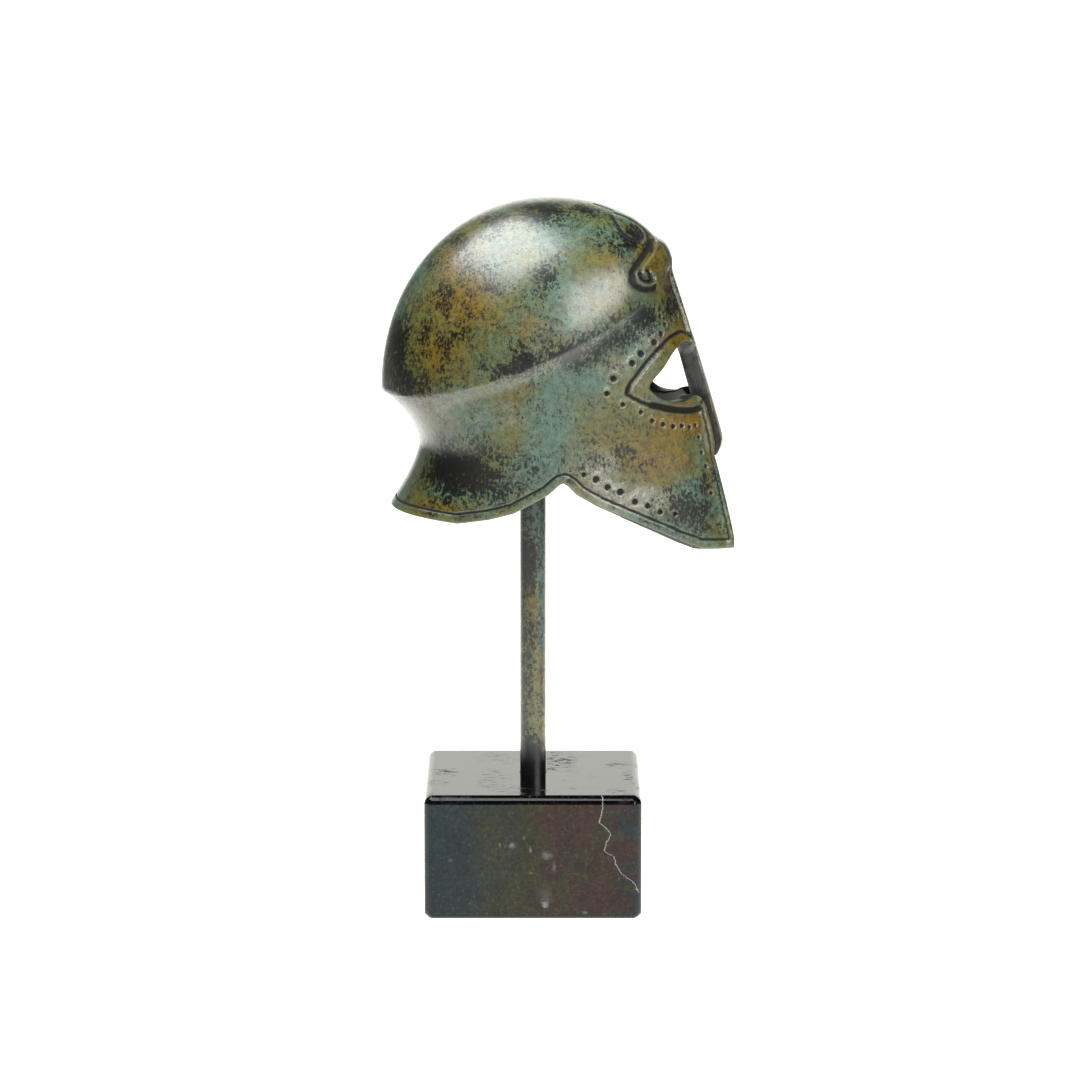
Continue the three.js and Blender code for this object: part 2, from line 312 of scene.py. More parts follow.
# Punched dots seen from the side: x, z, diameter
DOTS = np.array([
    (11.7, 103.5, 0.9), (14.5, 102.3, 1.3), (17.2, 100.3, 1.2), (20.1, 99.1, 1.3),
    (23.5, 96.6, 1.2), (26.4, 95.5, 1.1), (29.3, 93.8, 1.0), (32.6, 93.0, 0.8),
    (29.1, 138.5, 0.8), (30.2, 136.4, 0.9), (29.3, 134.5, 1.0), (27.7, 132.7, 1.3),
    (24.7, 130.4, 1.3), (22.6, 128.5, 1.2), (18.3, 125.3, 1.2), (16.9, 122.0, 1.0),
    (20.6, 119.2, 0.9), (24.7, 117.1, 0.8), (27.3, 115.0, 0.9), (29.8, 113.8, 0.9),
    (32.1, 113.1, 0.9), (34.2, 113.0, 0.9), (35.9, 112.5, 0.8), (37.4, 112.7, 0.8),
    (38.2, 109.9, 0.8), (38.8, 106.4, 0.8), (39.8, 103.1, 0.8), (41.1, 96.7, 0.8),
    (31.9, 137.1, 0.8), (33.1, 137.6, 0.8),
])

# Incised and raised lines seen from the front: name, half width, height, then y, z
STROKES = [
    ("eye_groove", 0.42, -0.5, [
        (3.6, 131.6), (4.2, 133.2), (5.8, 134.1), (9.9, 133.2), (13.8, 129.9), (16.3, 126.4),
        (18.1, 122.8), (18.2, 121.6), (17.2, 120.2), (15.6, 118.7), (13.7, 117.7), (11.4, 116.8),
        (8.4, 116.3), (6.0, 116.4)]),
    ("eye_fold", 0.9, -0.35, [(15.2, 118.5), (13.7, 117.7), (11.4, 116.7), (8.4, 116.2), (6.6, 116.3)]),
    ("crown_dash", 0.4, -0.4, [(2.0, 163.1), (2.5, 162.5), (2.8, 161.8)]),
    ("rim_groove", 0.5, -0.4, [
        (3.9, 161.2), (3.2, 160.2), (2.8, 159.0), (3.1, 157.7), (4.0, 156.4), (5.2, 155.5)]),
    ("lobe_groove", 0.6, -0.4, [
        (6.2, 160.9), (8.1, 159.6), (9.3, 158.5), (10.2, 157.2), (10.1, 156.1), (8.8, 155.9),
        (7.3, 156.6), (6.3, 157.6), (6.2, 158.5)]),
    ("lobe_ridge", 0.35, 0.25, [
        (5.8, 161.0), (5.0, 160.1), (4.5, 159.2), (4.6, 158.0), (5.5, 156.8), (7.2, 155.6),
        (9.2, 154.9)]),
    ("stem_groove", 0.8, -0.5, [
        (5.0, 155.5), (7.8, 154.2), (10.6, 152.8), (13.0, 151.3), (14.7, 149.9), (15.7, 148.6),
        (16.1, 147.2), (15.7, 145.9), (14.4, 145.1), (12.5, 144.9), (11.2, 145.2)]),
    ("stem_ridge", 0.35, 0.25, [
        (4.4, 154.4), (6.0, 153.9), (8.2, 152.6), (10.9, 151.1), (12.8, 149.9), (13.4, 148.9),
        (13.0, 148.0)]),
    ("volute_ridge", 0.35, 0.35, [
        (14.4, 149.5), (15.1, 148.5), (15.2, 147.3), (14.5, 146.3), (13.2, 145.9), (11.7, 146.1),
        (10.8, 147.0), (10.9, 148.1), (11.7, 148.8)]),
    ("volute_groove", 0.4, -0.55, [
        (14.2, 147.9), (13.9, 147.1), (12.9, 146.8), (11.9, 147.2), (11.9, 147.9)]),
]

LIP_HEIGHT = 0.35
BORDER_INSET, BORDER_HALF, BORDER_DEPTH = 2.0, 0.35, -0.22
BAND_HEIGHT, BAND_TOP, BAND_HALF, NASAL_COVER = 1.0, 148.5, 3.2, 4.5
BOSS_HEIGHT = 1.2


def band_half(z):
    """The nasal band is even down to the eyes, and below them covers the whole nasal guard."""
    return lerp(NASAL_COVER, BAND_HALF, smoothstep(130.5, 137.0, z))


def make_lines():
    """Every drawn line and dot, lifted onto the surface."""
    strokes = {
        name: (survey.lift(smooth_line(np.array(points), 0.4), FRONT), half, height)
        for name, half, height, points in STROKES
    }
    dots = survey.lift(DOTS[:, :2], SIDE)
    turns = np.linspace(0.12, np.pi, 500)
    hem = shell_point(np.stack([turns, np.full_like(turns, LEVELS["hem"])], 1))
    hem = hem[hem[:, 1] >= 5.3]
    hem = np.vstack([hem, shell_point(np.array([[np.pi, LEVELS["hem"]]]))])
    free = (OPENING_LINE[:, 1] > 83.7) & (OPENING_LINE[:, 1] < 118.0) & (OPENING_LINE[:, 0] > 4.2)
    cheek = survey.lift(OPENING_LINE[free][::2], FRONT)
    return strokes, dots, hem, cheek


LINES, DOT_SPOTS, HEM_LINE, CHEEK_LINE = make_lines()
SPINE = shell_point(np.stack([np.zeros(300), np.linspace(2.9, 0.2, 300)], 1))
NASAL_FLATNESS = 0.6  # how much of the nasal guard's curve across is filled up
LIP_OUTLINE = np.vstack([smooth_line(np.array(STROKES[0][3]), 0.4), [(4.6, 122.0)]])


CHEEK_NARROWING = 1.6  # the border line lies this much nearer to the cheek guard's front edge


def edge_distance(points):
    """Distance to the guards' free edges: the hem and the cheek guard's front edge."""
    cheek = distance_to_line(points, CHEEK_LINE) * CHEEK_NARROWING
    return np.minimum(distance_to_line(points, HEM_LINE), cheek)


# ---------------------------------------------------------------- a mesh fine only where needed


SPLIT_RATIO = 1.45  # an edge is split where it is this much longer than wanted


def corner_edges(triangles):
    """The three edges of each triangle as sorted vertex pairs, unique, and where each one is."""
    pairs = np.sort(np.stack([triangles, np.roll(triangles, -1, 1)], 2).reshape(-1, 2), axis=1)
    unique, inverse = np.unique(pairs, axis=0, return_inverse=True)
    return unique, inverse.reshape(-1, 3)


def split_edges(chart, triangles, chosen, edges, of_triangle):
    """Cuts the chosen edges at their middles: a triangle falls into two, three or four."""
    middle = np.full(len(edges), -1)
    middle[chosen] = len(chart) + np.arange(chosen.sum())
    chart = np.vstack([chart, chart[edges[chosen]].mean(1)])
    cuts = middle[of_triangle]
    count = (cuts >= 0).sum(1)
    parts = [triangles[count == 0]]
    lone = np.where(count == 1, np.argmax(cuts >= 0, 1), np.argmax(cuts < 0, 1))
    shift = (lone[:, None] + np.arange(3)) % 3
    a, b, c = np.take_along_axis(triangles, shift, 1).T
    ab, bc, ca = np.take_along_axis(cuts, shift, 1).T
    one, two, three = (count == n for n in (1, 2, 3))
    parts += [np.stack(row, 1)[one] for row in ((a, ab, c), (ab, b, c))]
    parts += [np.stack(row, 1)[two] for row in ((a, b, bc), (a, bc, ca), (ca, bc, c))]
    parts += [np.stack(row, 1)[three] for row in ((a, ab, ca), (ab, b, bc), (ca, bc, c), (ab, bc, ca))]
    return chart, np.vstack(parts)


def refine(chart, triangles, fineness, finest, passes=4):
    """Splits every edge that is longer than the fineness wanted at its middle, again and again."""
    for _ in range(passes):
        edges, of_triangle = corner_edges(triangles)
        points = shell_point(chart)
        length = np.linalg.norm(points[edges[:, 0]] - points[edges[:, 1]], axis=1)
        chosen = length > SPLIT_RATIO * finest
        chosen[chosen] = length[chosen] > SPLIT_RATIO * fineness(chart[edges[chosen]].mean(1))
        if not chosen.any():
            break
        chart, triangles = split_edges(chart, triangles, chosen, edges, of_triangle)
    return chart, triangles


def base_grid(step):
    """Columns at even steps along the waist ring, rows at even steps down the side."""
    turns = np.linspace(0, np.pi, 4000)
    x, y = ring_xy(WAIST, turns, 0)
    length = np.concatenate([[0], np.cumsum(np.hypot(np.diff(x), np.diff(y)))])
    columns = np.interp(np.linspace(0, length[-1], int(length[-1] / step) + 1), length, turns)
    tall = {"dome": 46.0, "neck": 30.0, "skirt": 19.0}
    rows = np.concatenate([
        np.linspace(0, 1, int(tall["dome"] / step) + 1)[:-1],
        np.linspace(1, 2, int(tall["neck"] / step) + 1)[:-1],
        np.linspace(2, 3, int(tall["skirt"] / step) + 1),
    ])
    turn, level = np.meshgrid(columns, rows)
    chart = np.stack([turn.ravel(), level.ravel()], 1)
    index = np.arange(len(chart)).reshape(turn.shape)
    a, b, c, d = index[:-1, :-1], index[:-1, 1:], index[1:, 1:], index[1:, :-1]
    halves = [np.stack([a, d, c], -1), np.stack([a, c, b], -1)]
    return chart, np.vstack([half.reshape(-1, 3) for half in halves])


def cut_opening(chart, triangles):
    """Moves the vertices nearest to the opening's outline onto it and drops what lies inside."""
    depth = opening_depth(chart)
    edges, _ = corner_edges(triangles)
    a, b = edges.T
    crossing = depth[a] * depth[b] < 0
    a, b = a[crossing], b[crossing]
    low, high = np.zeros(len(a)), np.ones(len(a))
    for _ in range(12):
        middle = (low + high) / 2
        at = opening_depth(lerp(chart[a], chart[b], middle[:, None]))
        same = np.sign(at) == np.sign(depth[a])
        low, high = np.where(same, middle, low), np.where(same, high, middle)
    share = (low + high) / 2
    mover = np.where(share < 0.5, a, b)
    target = lerp(chart[a], chart[b], share[:, None])
    order = np.argsort(-np.minimum(share, 1 - share))
    chart, depth = chart.copy(), depth.copy()
    chart[mover[order]] = target[order]
    depth[mover] = 0
    total = depth[triangles].sum(1)
    centre = opening_depth(chart[triangles].mean(1))
    kept = np.where(np.abs(total) > 1e-9, total > 0, centre > 0)
    return chart, triangles[kept]


EDGE_FINENESS, LINE_FINENESS, DOT_FINENESS, GRID_STEP = 0.32, 0.3, 0.24, 1.25
SHARED_STRIP = 1.8  # both walls have the same triangles this near to a free edge


def edge_gap(chart, points):
    """Distance to the nearest edge of metal: the face opening's or the hem's."""
    return np.minimum(np.abs(opening_depth(chart)), distance_to_line(points, HEM_LINE))


def surface_fineness(chart):
    """Triangle size wanted on the outer wall: small at free edges, lines and dots."""
    points = shell_point(chart)
    gap = edge_gap(chart, points)
    wanted = EDGE_FINENESS + 0.5 * np.maximum(gap - 0.5, 0)
    for line, half, _ in LINES.values():
        gap = distance_to_line(points, line, 3.0) - half
        wanted = np.minimum(wanted, LINE_FINENESS + 0.45 * np.maximum(gap - 0.1, 0))
    border = np.abs(edge_distance(points) - BORDER_INSET) - BORDER_HALF
    wanted = np.minimum(wanted, LINE_FINENESS + 0.45 * np.maximum(border - 0.1, 0))
    band = np.abs(points[:, 1] - band_half(points[:, 2])) + 9 * (points[:, 0] < 28)
    band = np.where(points[:, 2] > BAND_TOP + 0.5, 9, band)
    wanted = np.minimum(wanted, LINE_FINENESS + 0.45 * np.maximum(band - 0.4, 0))
    for spot, size in zip(DOT_SPOTS, DOTS[:, 2]):
        gap = np.linalg.norm(points - spot, axis=1) - size / 2
        wanted = np.minimum(wanted, DOT_FINENESS + 0.5 * np.maximum(gap - 0.2, 0))
    return wanted


def inner_fineness(chart):
    """Triangle size wanted on the inner wall, which is plain away from the edges."""
    gap = edge_gap(chart, shell_point(chart))
    plain = EDGE_FINENESS + 0.5 * np.maximum(gap - 0.5, 0)
    near = gap < SHARED_STRIP
    plain[near] = surface_fineness(chart[near])
    return plain


# ---------------------------------------------------------------- relief and stains


def bump(gap, half):
    """A rounded hump: 1 on the line, 0 from its half width on, by (1 - (gap / half)^2)^2."""
    return (1 - np.clip(np.abs(gap) / half, 0, 1) ** 2) ** 2


class Relief(NamedTuple):
    """Height over the plain surface in millimetres, how much painted shade its hollows get, and how worn
    its raised parts look, on the dot rims also a painted highlight.
    """

    height: np.ndarray
    hollow: np.ndarray
    ridge: np.ndarray


def surface_relief(points, shape):
    """Adds up the drawn lines, the eye lips, the border lines, the nasal band, the dots and the
    forehead boss, each a rounded hump or step by its distance to its line or outline. Grooves,
    border lines, the nasal band's step and the dot pits also get painted shade in hollow, and the
    dot rims a painted highlight in ridge."""
    height = np.zeros(len(points))
    hollow, ridge = np.zeros(len(points)), np.zeros(len(points))
    front = points[:, 0] > 8
    for line, half, rise in LINES.values():
        gap = distance_to_line(points, line)
        hump = bump(gap, 1.6 * half)
        height += rise * hump
        # Grooves get painted shade: hollow darkens each groove and, more faintly, a band out to three
        # half widths around it.
        if rise < 0:
            deep = smoothstep(0.1, 0.6, hump)
            hollow = np.maximum(hollow, np.maximum(deep, 0.35 * bump(gap, 3.0 * half)))
        else:
            ridge = np.maximum(ridge, hump)
    gap = distance_to_line(points, LINES["eye_groove"][0])
    lip = inside_outline(points[:, 1:], LIP_OUTLINE) & front
    height += np.where(lip, shape.lip_height / MM * smoothstep(0.1, 0.6, gap), 0)
    ridge = np.maximum(ridge, np.where(lip, 0, 0.6 * bump(gap - 0.9, 0.45)))
    edge = edge_distance(points)
    border = bump(edge - shape.border_inset / MM, 1.5 * BORDER_HALF)
    height += BORDER_DEPTH * border
    # Painted shade along the border line's groove.
    hollow = np.maximum(hollow, smoothstep(0.05, 0.6, border))
    ridge = np.maximum(ridge, 0.7 * smoothstep(0.9, 0.2, edge))
    inset = band_half(points[:, 2]) - np.abs(points[:, 1])
    drop = np.interp(points[:, 2], SPINE[:, 2], SPINE[:, 0]) - points[:, 0]
    flat = smoothstep(BAND_TOP, BAND_TOP - 12, points[:, 2]) * smoothstep(-2.5, 0.2, inset)
    height += NASAL_FLATNESS * flat * np.clip(drop, 0, 2.5) * (points[:, 0] > 28)
    top = BAND_TOP + 1.0 - points[:, 2]
    band = smoothstep(-0.25, 0.25, inset) * smoothstep(-0.3, 3.5, top) * (points[:, 0] > 28)
    height += shape.band_height / MM * band
    # Painted shade along the step at the nasal band's edge, above z 119.
    step = bump(inset + 0.45, 0.5) * (points[:, 0] > 28) * (points[:, 2] > 119)
    hollow = np.maximum(hollow, 0.8 * step)
    for spot, size in zip(DOT_SPOTS, DOTS[:, 2]):
        gap = np.linalg.norm(points - spot, axis=1)
        pit, rim = bump(gap, 0.85 * size), bump(gap - 0.95 * size, 0.35 * size)
        height += -shape.dot_depth / MM * pit + 0.12 * rim
        # The dot's pit gets painted shade through hollow. Its rim gets a light worn colour through ridge,
        # which also stands in as a painted highlight.
        hollow = np.maximum(hollow, smoothstep(0.03, 0.35, pit))
        ridge = np.maximum(ridge, 0.4 * rim)
    boss = np.exp(-((points[:, 1] / 8.5) ** 4) - ((points[:, 2] - 151.5) / 3.2) ** 4) * front
    height += shape.boss_height / MM * boss
    return Relief(height, np.clip(hollow, 0, 1), np.clip(ridge, 0, 1))


# Stains: x, y, z of the middle, radius along x, radius along z, strength. The pale blots are partly
# chalky patina and partly painted light: a painted reflection in the band under the crease at the
# back and a painted sheen on the lower cheek by the dots.
STAIN_AND_SHEEN_BLOTS = {
    "ochre": np.array([
        (-18.0, -13.6, 150.9, 6.5, 6.5, 0.75), (-15.9, -19.9, 143.6, 11.0, 8.0, 0.9),
        (-12.0, -22.6, 139.9, 10.0, 5.5, 0.55), (-21.7, -20.4, 132.0, 10.0, 11.0, 0.65),
        (33.4, -11.5, 113.3, 11.0, 5.0, 1.2), (31.2, -13.4, 109.0, 11.0, 7.0, 0.85),
        (27.4, -15.6, 105.0, 9.0, 6.0, 0.8), (27.3, -8.6, 152.4, 4.5, 6.0, 0.75),
        (17.6, -17.2, 151.3, 7.5, 5.3, 0.45), (8.5, -22.4, 106.1, 3.0, 5.0, 0.5),
        (12.2, -21.6, 99.8, 4.0, 2.5, 0.6), (-20.8, -20.0, 95.5, 10.0, 2.0, 0.5),
        (32.3, -9.1, 132.6, 5.0, 2.2, 1.0), (-2.5, -25.0, 137.9, 7.0, 5.0, 0.5),
        (-3.6, -25.4, 122.2, 9.0, 5.0, 0.45), (30.5, -8.0, 146.0, 4.0, 10.0, 0.6),
        (35.0, -7.0, 138.0, 3.5, 6.0, 0.6), (40.5, -5.0, 104.0, 2.0, 9.0, 0.6),
        (42.0, -4.0, 116.0, 2.5, 8.0, 0.7), (34.0, -11.0, 118.0, 6.0, 1.6, 0.9),
        (20.0, -19.0, 110.0, 9.0, 7.0, 0.5),
        (-14.0, 21.0, 137.0, 9.0, 6.5, 0.9), (8.0, 22.0, 146.0, 6.0, 8.0, 0.7),
        (30.0, 14.0, 107.0, 10.0, 6.0, 0.9), (36.0, 9.0, 97.0, 5.0, 6.0, 0.5),
        (-24.0, 12.0, 104.0, 9.0, 5.0, 0.5), (-30.0, 2.0, 141.0, 6.0, 9.0, 0.5),
    ]),
    "black": np.array([
        (-18.5, -20.3, 104.0, 11.0, 7.0, 0.9), (-12.0, -21.3, 101.5, 12.0, 6.5, 0.65),
        (-7.8, -23.9, 107.5, 5.0, 3.0, 0.5), (-3.5, -24.0, 106.4, 8.0, 4.5, 0.5),
        (-31.0, -10.0, 131.1, 4.5, 12.0, 0.65), (1.6, -9.2, 162.2, 9.0, 2.8, 0.6),
        (-7.8, -9.5, 160.1, 6.0, 2.8, 0.5), (3.7, -21.4, 149.2, 4.0, 3.2, 0.5),
        (1.5, -25.7, 131.1, 7.5, 3.2, 0.6), (-2.8, -26.0, 128.4, 9.5, 2.6, 0.6),
        (17.5, -20.9, 134.5, 10.0, 3.4, 0.75), (24.5, -15.8, 139.5, 6.5, 3.0, 0.65),
        (35.6, -11.9, 93.5, 8.5, 6.5, 0.55), (40.5, -6.3, 99.0, 3.0, 4.0, 0.5),
        (-16.0, -19.0, 146.0, 12.0, 12.0, 0.3), (-22.0, -19.0, 133.0, 11.0, 8.0, 0.3), (22.5, -17.5, 105.5, 5.0, 4.0, 0.45),
        (10.0, -24.0, 131.5, 9.0, 3.4, 0.6), (-20.0, -12.0, 156.0, 8.0, 3.0, 0.5),
        (24.0, -12.0, 158.0, 5.0, 5.0, 0.5), (23.0, -16.0, 149.0, 3.0, 4.5, 0.4),
        (18.0, -19.5, 111.0, 8.0, 3.5, 0.2), (12.0, -24.0, 121.0, 6.0, 2.5, 0.2),
        (-28.0, -17.0, 124.0, 6.0, 5.0, 0.6), (30.0, -3.0, 140.0, 3.0, 5.0, 0.4),
        (-26.0, -14.0, 152.0, 5.0, 5.0, 0.5), (15.0, -22.0, 106.0, 12.0, 3.0, 0.25),
        (23.0, -9.0, 157.0, 6.0, 4.0, 0.6), (25.5, -15.0, 147.5, 4.0, 4.0, 0.5),
        (32.0, -4.0, 142.0, 3.0, 6.0, 0.5), (-33.0, -8.0, 124.0, 4.0, 5.0, 0.7),
        (5.0, -6.0, 163.0, 16.0, 2.0, 0.5),
        (-8.0, 22.0, 106.0, 14.0, 6.0, 0.9), (0.0, 25.0, 131.0, 12.0, 3.0, 0.7),
        (20.0, 17.0, 140.0, 9.0, 3.0, 0.7), (-29.0, 12.0, 128.0, 5.0, 12.0, 0.7),
        (33.0, 12.0, 92.0, 8.0, 5.0, 0.7), (-2.0, 14.0, 160.0, 9.0, 4.0, 0.6),
    ]),
    "teal": np.array([
        (3.7, -24.2, 116.6, 7.0, 10.0, 1.0), (5.8, -24.3, 140.0, 9.0, 7.0, 0.6),
        (-27.4, -2.6, 146.8, 4.0, 8.0, 0.7), (10.2, -14.5, 158.0, 10.0, 5.0, 0.8),
        (1.5, -23.7, 105.5, 7.0, 6.0, 0.8), (22.9, -17.5, 134.0, 6.0, 4.0, 0.5),
        (36.7, -10.9, 96.7, 6.0, 6.0, 0.8), (12.0, -24.0, 126.0, 8.0, 6.0, 0.6),
        (2.0, 24.0, 116.0, 10.0, 9.0, 1.0), (-4.0, 20.0, 152.0, 9.0, 6.0, 0.7),
        (22.0, 18.0, 130.0, 7.0, 6.0, 0.7), (-22.0, 16.0, 118.0, 9.0, 6.0, 0.5),
    ]),
    "olive": np.array([
        (20.0, -19.0, 110.0, 11.0, 12.0, 1.0), (30.0, -14.0, 104.0, 12.0, 12.0, 0.9),
        (-10.0, -22.0, 130.0, 16.0, 10.0, 0.6), (-22.0, -16.0, 138.0, 12.0, 16.0, 0.8),
        (27.0, -9.0, 149.0, 7.0, 10.0, 0.9), (-24.0, -18.0, 95.0, 14.0, 4.0, 0.8),
        (34.0, -6.0, 136.0, 5.0, 7.0, 0.8), (13.0, -22.0, 143.0, 6.0, 8.0, 0.5),
        (28.0, 14.0, 106.0, 14.0, 12.0, 0.9), (-16.0, 20.0, 135.0, 14.0, 12.0, 0.7),
        (24.0, 12.0, 149.0, 8.0, 9.0, 0.8),
    ]),
    # Pale: the first three blots and the far-side one at z 121 are a painted reflection in the band under
    # the crease at the back. The three by the lower cheek's dots and the far-side one at z 99 are a
    # painted sheen.
    "pale": np.array([
        (-22.3, -20.6, 119.0, 12.0, 4.5, 0.5), (-27.0, -14.0, 117.0, 7.0, 6.0, 0.4),
        (-10.0, -23.0, 118.0, 10.0, 5.0, 0.45), (15.0, -20.7, 104.5, 6.0, 4.5, 0.75),
        (24.0, -18.0, 97.0, 10.0, 3.4, 1.0), (16.6, -20.5, 100.5, 5.0, 2.2, 0.9),
        (26.5, -15.5, 133.0, 4.5, 4.5, 0.5), (20.0, -20.0, 128.0, 7.0, 3.0, 0.3),
        (-20.0, 18.0, 121.0, 10.0, 4.5, 0.8), (22.0, 18.0, 99.0, 9.0, 3.5, 0.7),
    ]),
}
STAIN_DEPTH = 9.0  # how far a stain reaches across the shell, along y


def stain_amount(points, stains):
    """The strongest of a list of blots, each falling off as exp of minus its scaled distance
    squared."""
    amount = np.zeros(len(points))
    for x, y, z, wide, tall, strength in stains:
        offset = (points - (x, y, z)) / (wide, STAIN_DEPTH, tall)
        amount = np.maximum(amount, strength * np.exp(-(offset ** 2).sum(1)))
    return amount


def undulation(points):
    """Slow hand-worked unevenness: a sum of three sine waves with different directions."""
    x, y, z = points.T
    waves = np.sin(0.31 * x + 0.17 * z) + np.sin(0.23 * y - 0.29 * z + 1.7)
    return 0.5 * (waves + np.sin(0.19 * x - 0.35 * y + 0.4))


def settled(points):
    """Lets the left eye's back corner sink a little, as hand work does: a Gaussian of the distance
    to that corner, times the drop."""
    offset = (points - (27.0, 14.5, 119.5)) / (7.0, 9.0, 5.5)
    drop = EYE_DROP * np.exp(-(offset ** 2).sum(1))
    return points - drop[:, None] * (0, 0, 1)


EYE_DROP = 1.5


# ---------------------------------------------------------------- walls, rims and meshes


def mirrored(points, triangles, centre):
    """Adds the left half, y turned over, sharing the vertices that lie on the middle plane."""
    count = len(points)
    partner = np.arange(count)
    partner[~centre] = count + np.arange((~centre).sum())
    both = np.vstack([points, points[~centre] * (1, -1, 1)])
    return both, np.vstack([triangles, partner[triangles][:, ::-1]]), partner


def open_edges(triangles):
    """Directed edges that only one triangle has."""
    edges = np.concatenate([triangles[:, [0, 1]], triangles[:, [1, 2]], triangles[:, [2, 0]]])
    _, inverse, count = np.unique(
        np.sort(edges, 1), axis=0, return_inverse=True, return_counts=True)
    return edges[count[inverse.ravel()] == 1]


def merged(chart, triangles, points):
    """Joins vertices that share a place, drops triangles that lost a corner and unused points."""
    keys = np.round(points, 5)
    _, first, inverse = np.unique(keys, axis=0, return_index=True, return_inverse=True)
    triangles = inverse.ravel()[triangles]
    a, b, c = triangles.T
    triangles = triangles[(a != b) & (b != c) & (c != a)]
    used, renumbered = np.unique(triangles, return_inverse=True)
    return chart[first][used], renumbered.reshape(-1, 3)


def rim_strips(points, edges, partner_of, rows, bulge):
    """Closes the gap between the outer wall's edge and the inner wall's with rounded strips.

    Each row is a share t of the way across, pushed outwards along the edge by the bulge times
    (4 t (1 - t))^0.4, which rounds both corners.
    """
    rim = np.unique(edges)
    place = np.full(len(points), -1)
    place[rim] = np.arange(len(rim))
    along = np.zeros((len(points), 3))
    step = points[edges[:, 1]] - points[edges[:, 0]]
    step /= np.maximum(np.linalg.norm(step, axis=1, keepdims=True), 1e-9)
    np.add.at(along, edges[:, 0], step)
    np.add.at(along, edges[:, 1], step)
    start, end = points[rim], points[partner_of[rim]]
    push = np.cross(end - start, along[rim])
    push /= np.maximum(np.linalg.norm(push, axis=1, keepdims=True), 1e-9)
    share = ((1 - np.cos(np.linspace(0, np.pi, rows + 2))) / 2)[1:-1]
    strip = [lerp(start, end, t) + push * bulge * (4 * t * (1 - t)) ** 0.4 for t in share]
    ladder = [rim] + [len(points) + n * len(rim) + np.arange(len(rim)) for n in range(rows)]
    ladder.append(partner_of[rim])
    a, b = place[edges[:, 0]], place[edges[:, 1]]
    quads = [np.stack([up[b], up[a], down[a], down[b]], 1) for up, down in zip(ladder, ladder[1:])]
    return np.vstack([points] + strip), np.vstack(quads)


def write_mesh(name, points, faces, attributes=(), smooth=True):
    """A new object at the origin from points in millimetres and arrays of triangles and quads."""
    mesh = bpy.data.meshes.new(name)
    mesh.vertices.add(len(points))
    mesh.vertices.foreach_set("co", (points * MM).astype(np.float32).ravel())
    corners = np.concatenate([part.ravel() for part in faces])
    sizes = np.concatenate([np.full(len(part), part.shape[1]) for part in faces])
    mesh.loops.add(len(corners))
    mesh.loops.foreach_set("vertex_index", corners.astype(np.int32))
    mesh.polygons.add(len(sizes))
    starts = np.concatenate([[0], np.cumsum(sizes)[:-1]])
    mesh.polygons.foreach_set("loop_start", starts.astype(np.int32))
    mesh.polygons.foreach_set("use_smooth", np.broadcast_to(smooth, len(sizes)).copy())
    mesh.update(calc_edges=True)
    if mesh.validate():
        raise RuntimeError(name + " has faulty faces")
    for key, values in attributes:
        layer = mesh.attributes.new(key, "FLOAT", "POINT")
        layer.data.foreach_set("value", values.astype(np.float32))
    made = bpy.data.objects.new(name, mesh)
    bpy.context.scene.collection.objects.link(made)
    return made


def lathe(profile, centre, sides):
    """Turns a profile of (radius, height) about an upright line; a radius of 0 closes it."""
    angle = np.linspace(0, 2 * np.pi, sides, endpoint=False)
    radius, height = np.array(profile).T
    points = np.stack([
        centre[0] + radius[:, None] * np.cos(angle),
        centre[1] + radius[:, None] * np.sin(angle),
        np.broadcast_to(height[:, None], (len(radius), sides)),
    ], -1).reshape(-1, 3)
    index = np.arange(len(points)).reshape(len(radius), sides)
    following = np.roll(index, -1, axis=1)
    quads = np.stack([index[:-1], following[:-1], following[1:], index[1:]], -1).reshape(-1, 4)
    return points, quads


def welded(points, quads):
    """Joins the points of a lathe that share a place, so that its tips close in triangles."""
    _, first, inverse = np.unique(
        np.round(points, 5), axis=0, return_index=True, return_inverse=True)
    quads = inverse.ravel()[quads]
    whole = np.array([len(set(row)) == 4 for row in quads.tolist()])
    triangles = quads[~whole]
    a, b, c, d = triangles.T
    triangles = np.where((a == b)[:, None], np.stack([b, c, d], 1), np.stack([a, b, c], 1))
    return points[first], quads[whole], triangles


# ---------------------------------------------------------------- node helpers


def add(tree, kind, inputs=None, **settings):
    """A new shader node: settings are set on it, inputs are linked to sockets or set as values."""
    made = tree.nodes.new("ShaderNode" + kind)
    for key, value in settings.items():
        setattr(made, key, value)
    for key, value in (inputs or {}).items():
        if isinstance(value, bpy.types.NodeSocket):
            tree.links.new(value, made.inputs[key])
        else:
            made.inputs[key].default_value = value
    return made


def math(tree, operation, a, b=0.0, clamp=False):
    return add(tree, "Math", {0: a, 1: b}, operation=operation, use_clamp=clamp).outputs[0]


def mix(tree, factor, a, b, blend="MIX"):
    """Colour a turning into colour b, which sit in sockets 6 and 7 of the node."""
    return add(
        tree, "Mix", {0: factor, 6: a, 7: b}, data_type="RGBA", blend_type=blend).outputs[2]


def fade(tree, value, low, high):
    """0 below low, 1 above high, smooth between."""
    made = add(tree, "MapRange", {0: value, 1: low, 2: high}, interpolation_type="SMOOTHSTEP")
    return made.outputs[0]


def noise(tree, vector, scale, detail=3.0, roughness=0.55):
    inputs = {"Vector": vector, "Scale": scale, "Detail": detail, "Roughness": roughness}
    return add(tree, "TexNoise", inputs).outputs["Fac"]


def attribute(tree, name):
    return add(tree, "Attribute", attribute_name=name).outputs["Fac"]


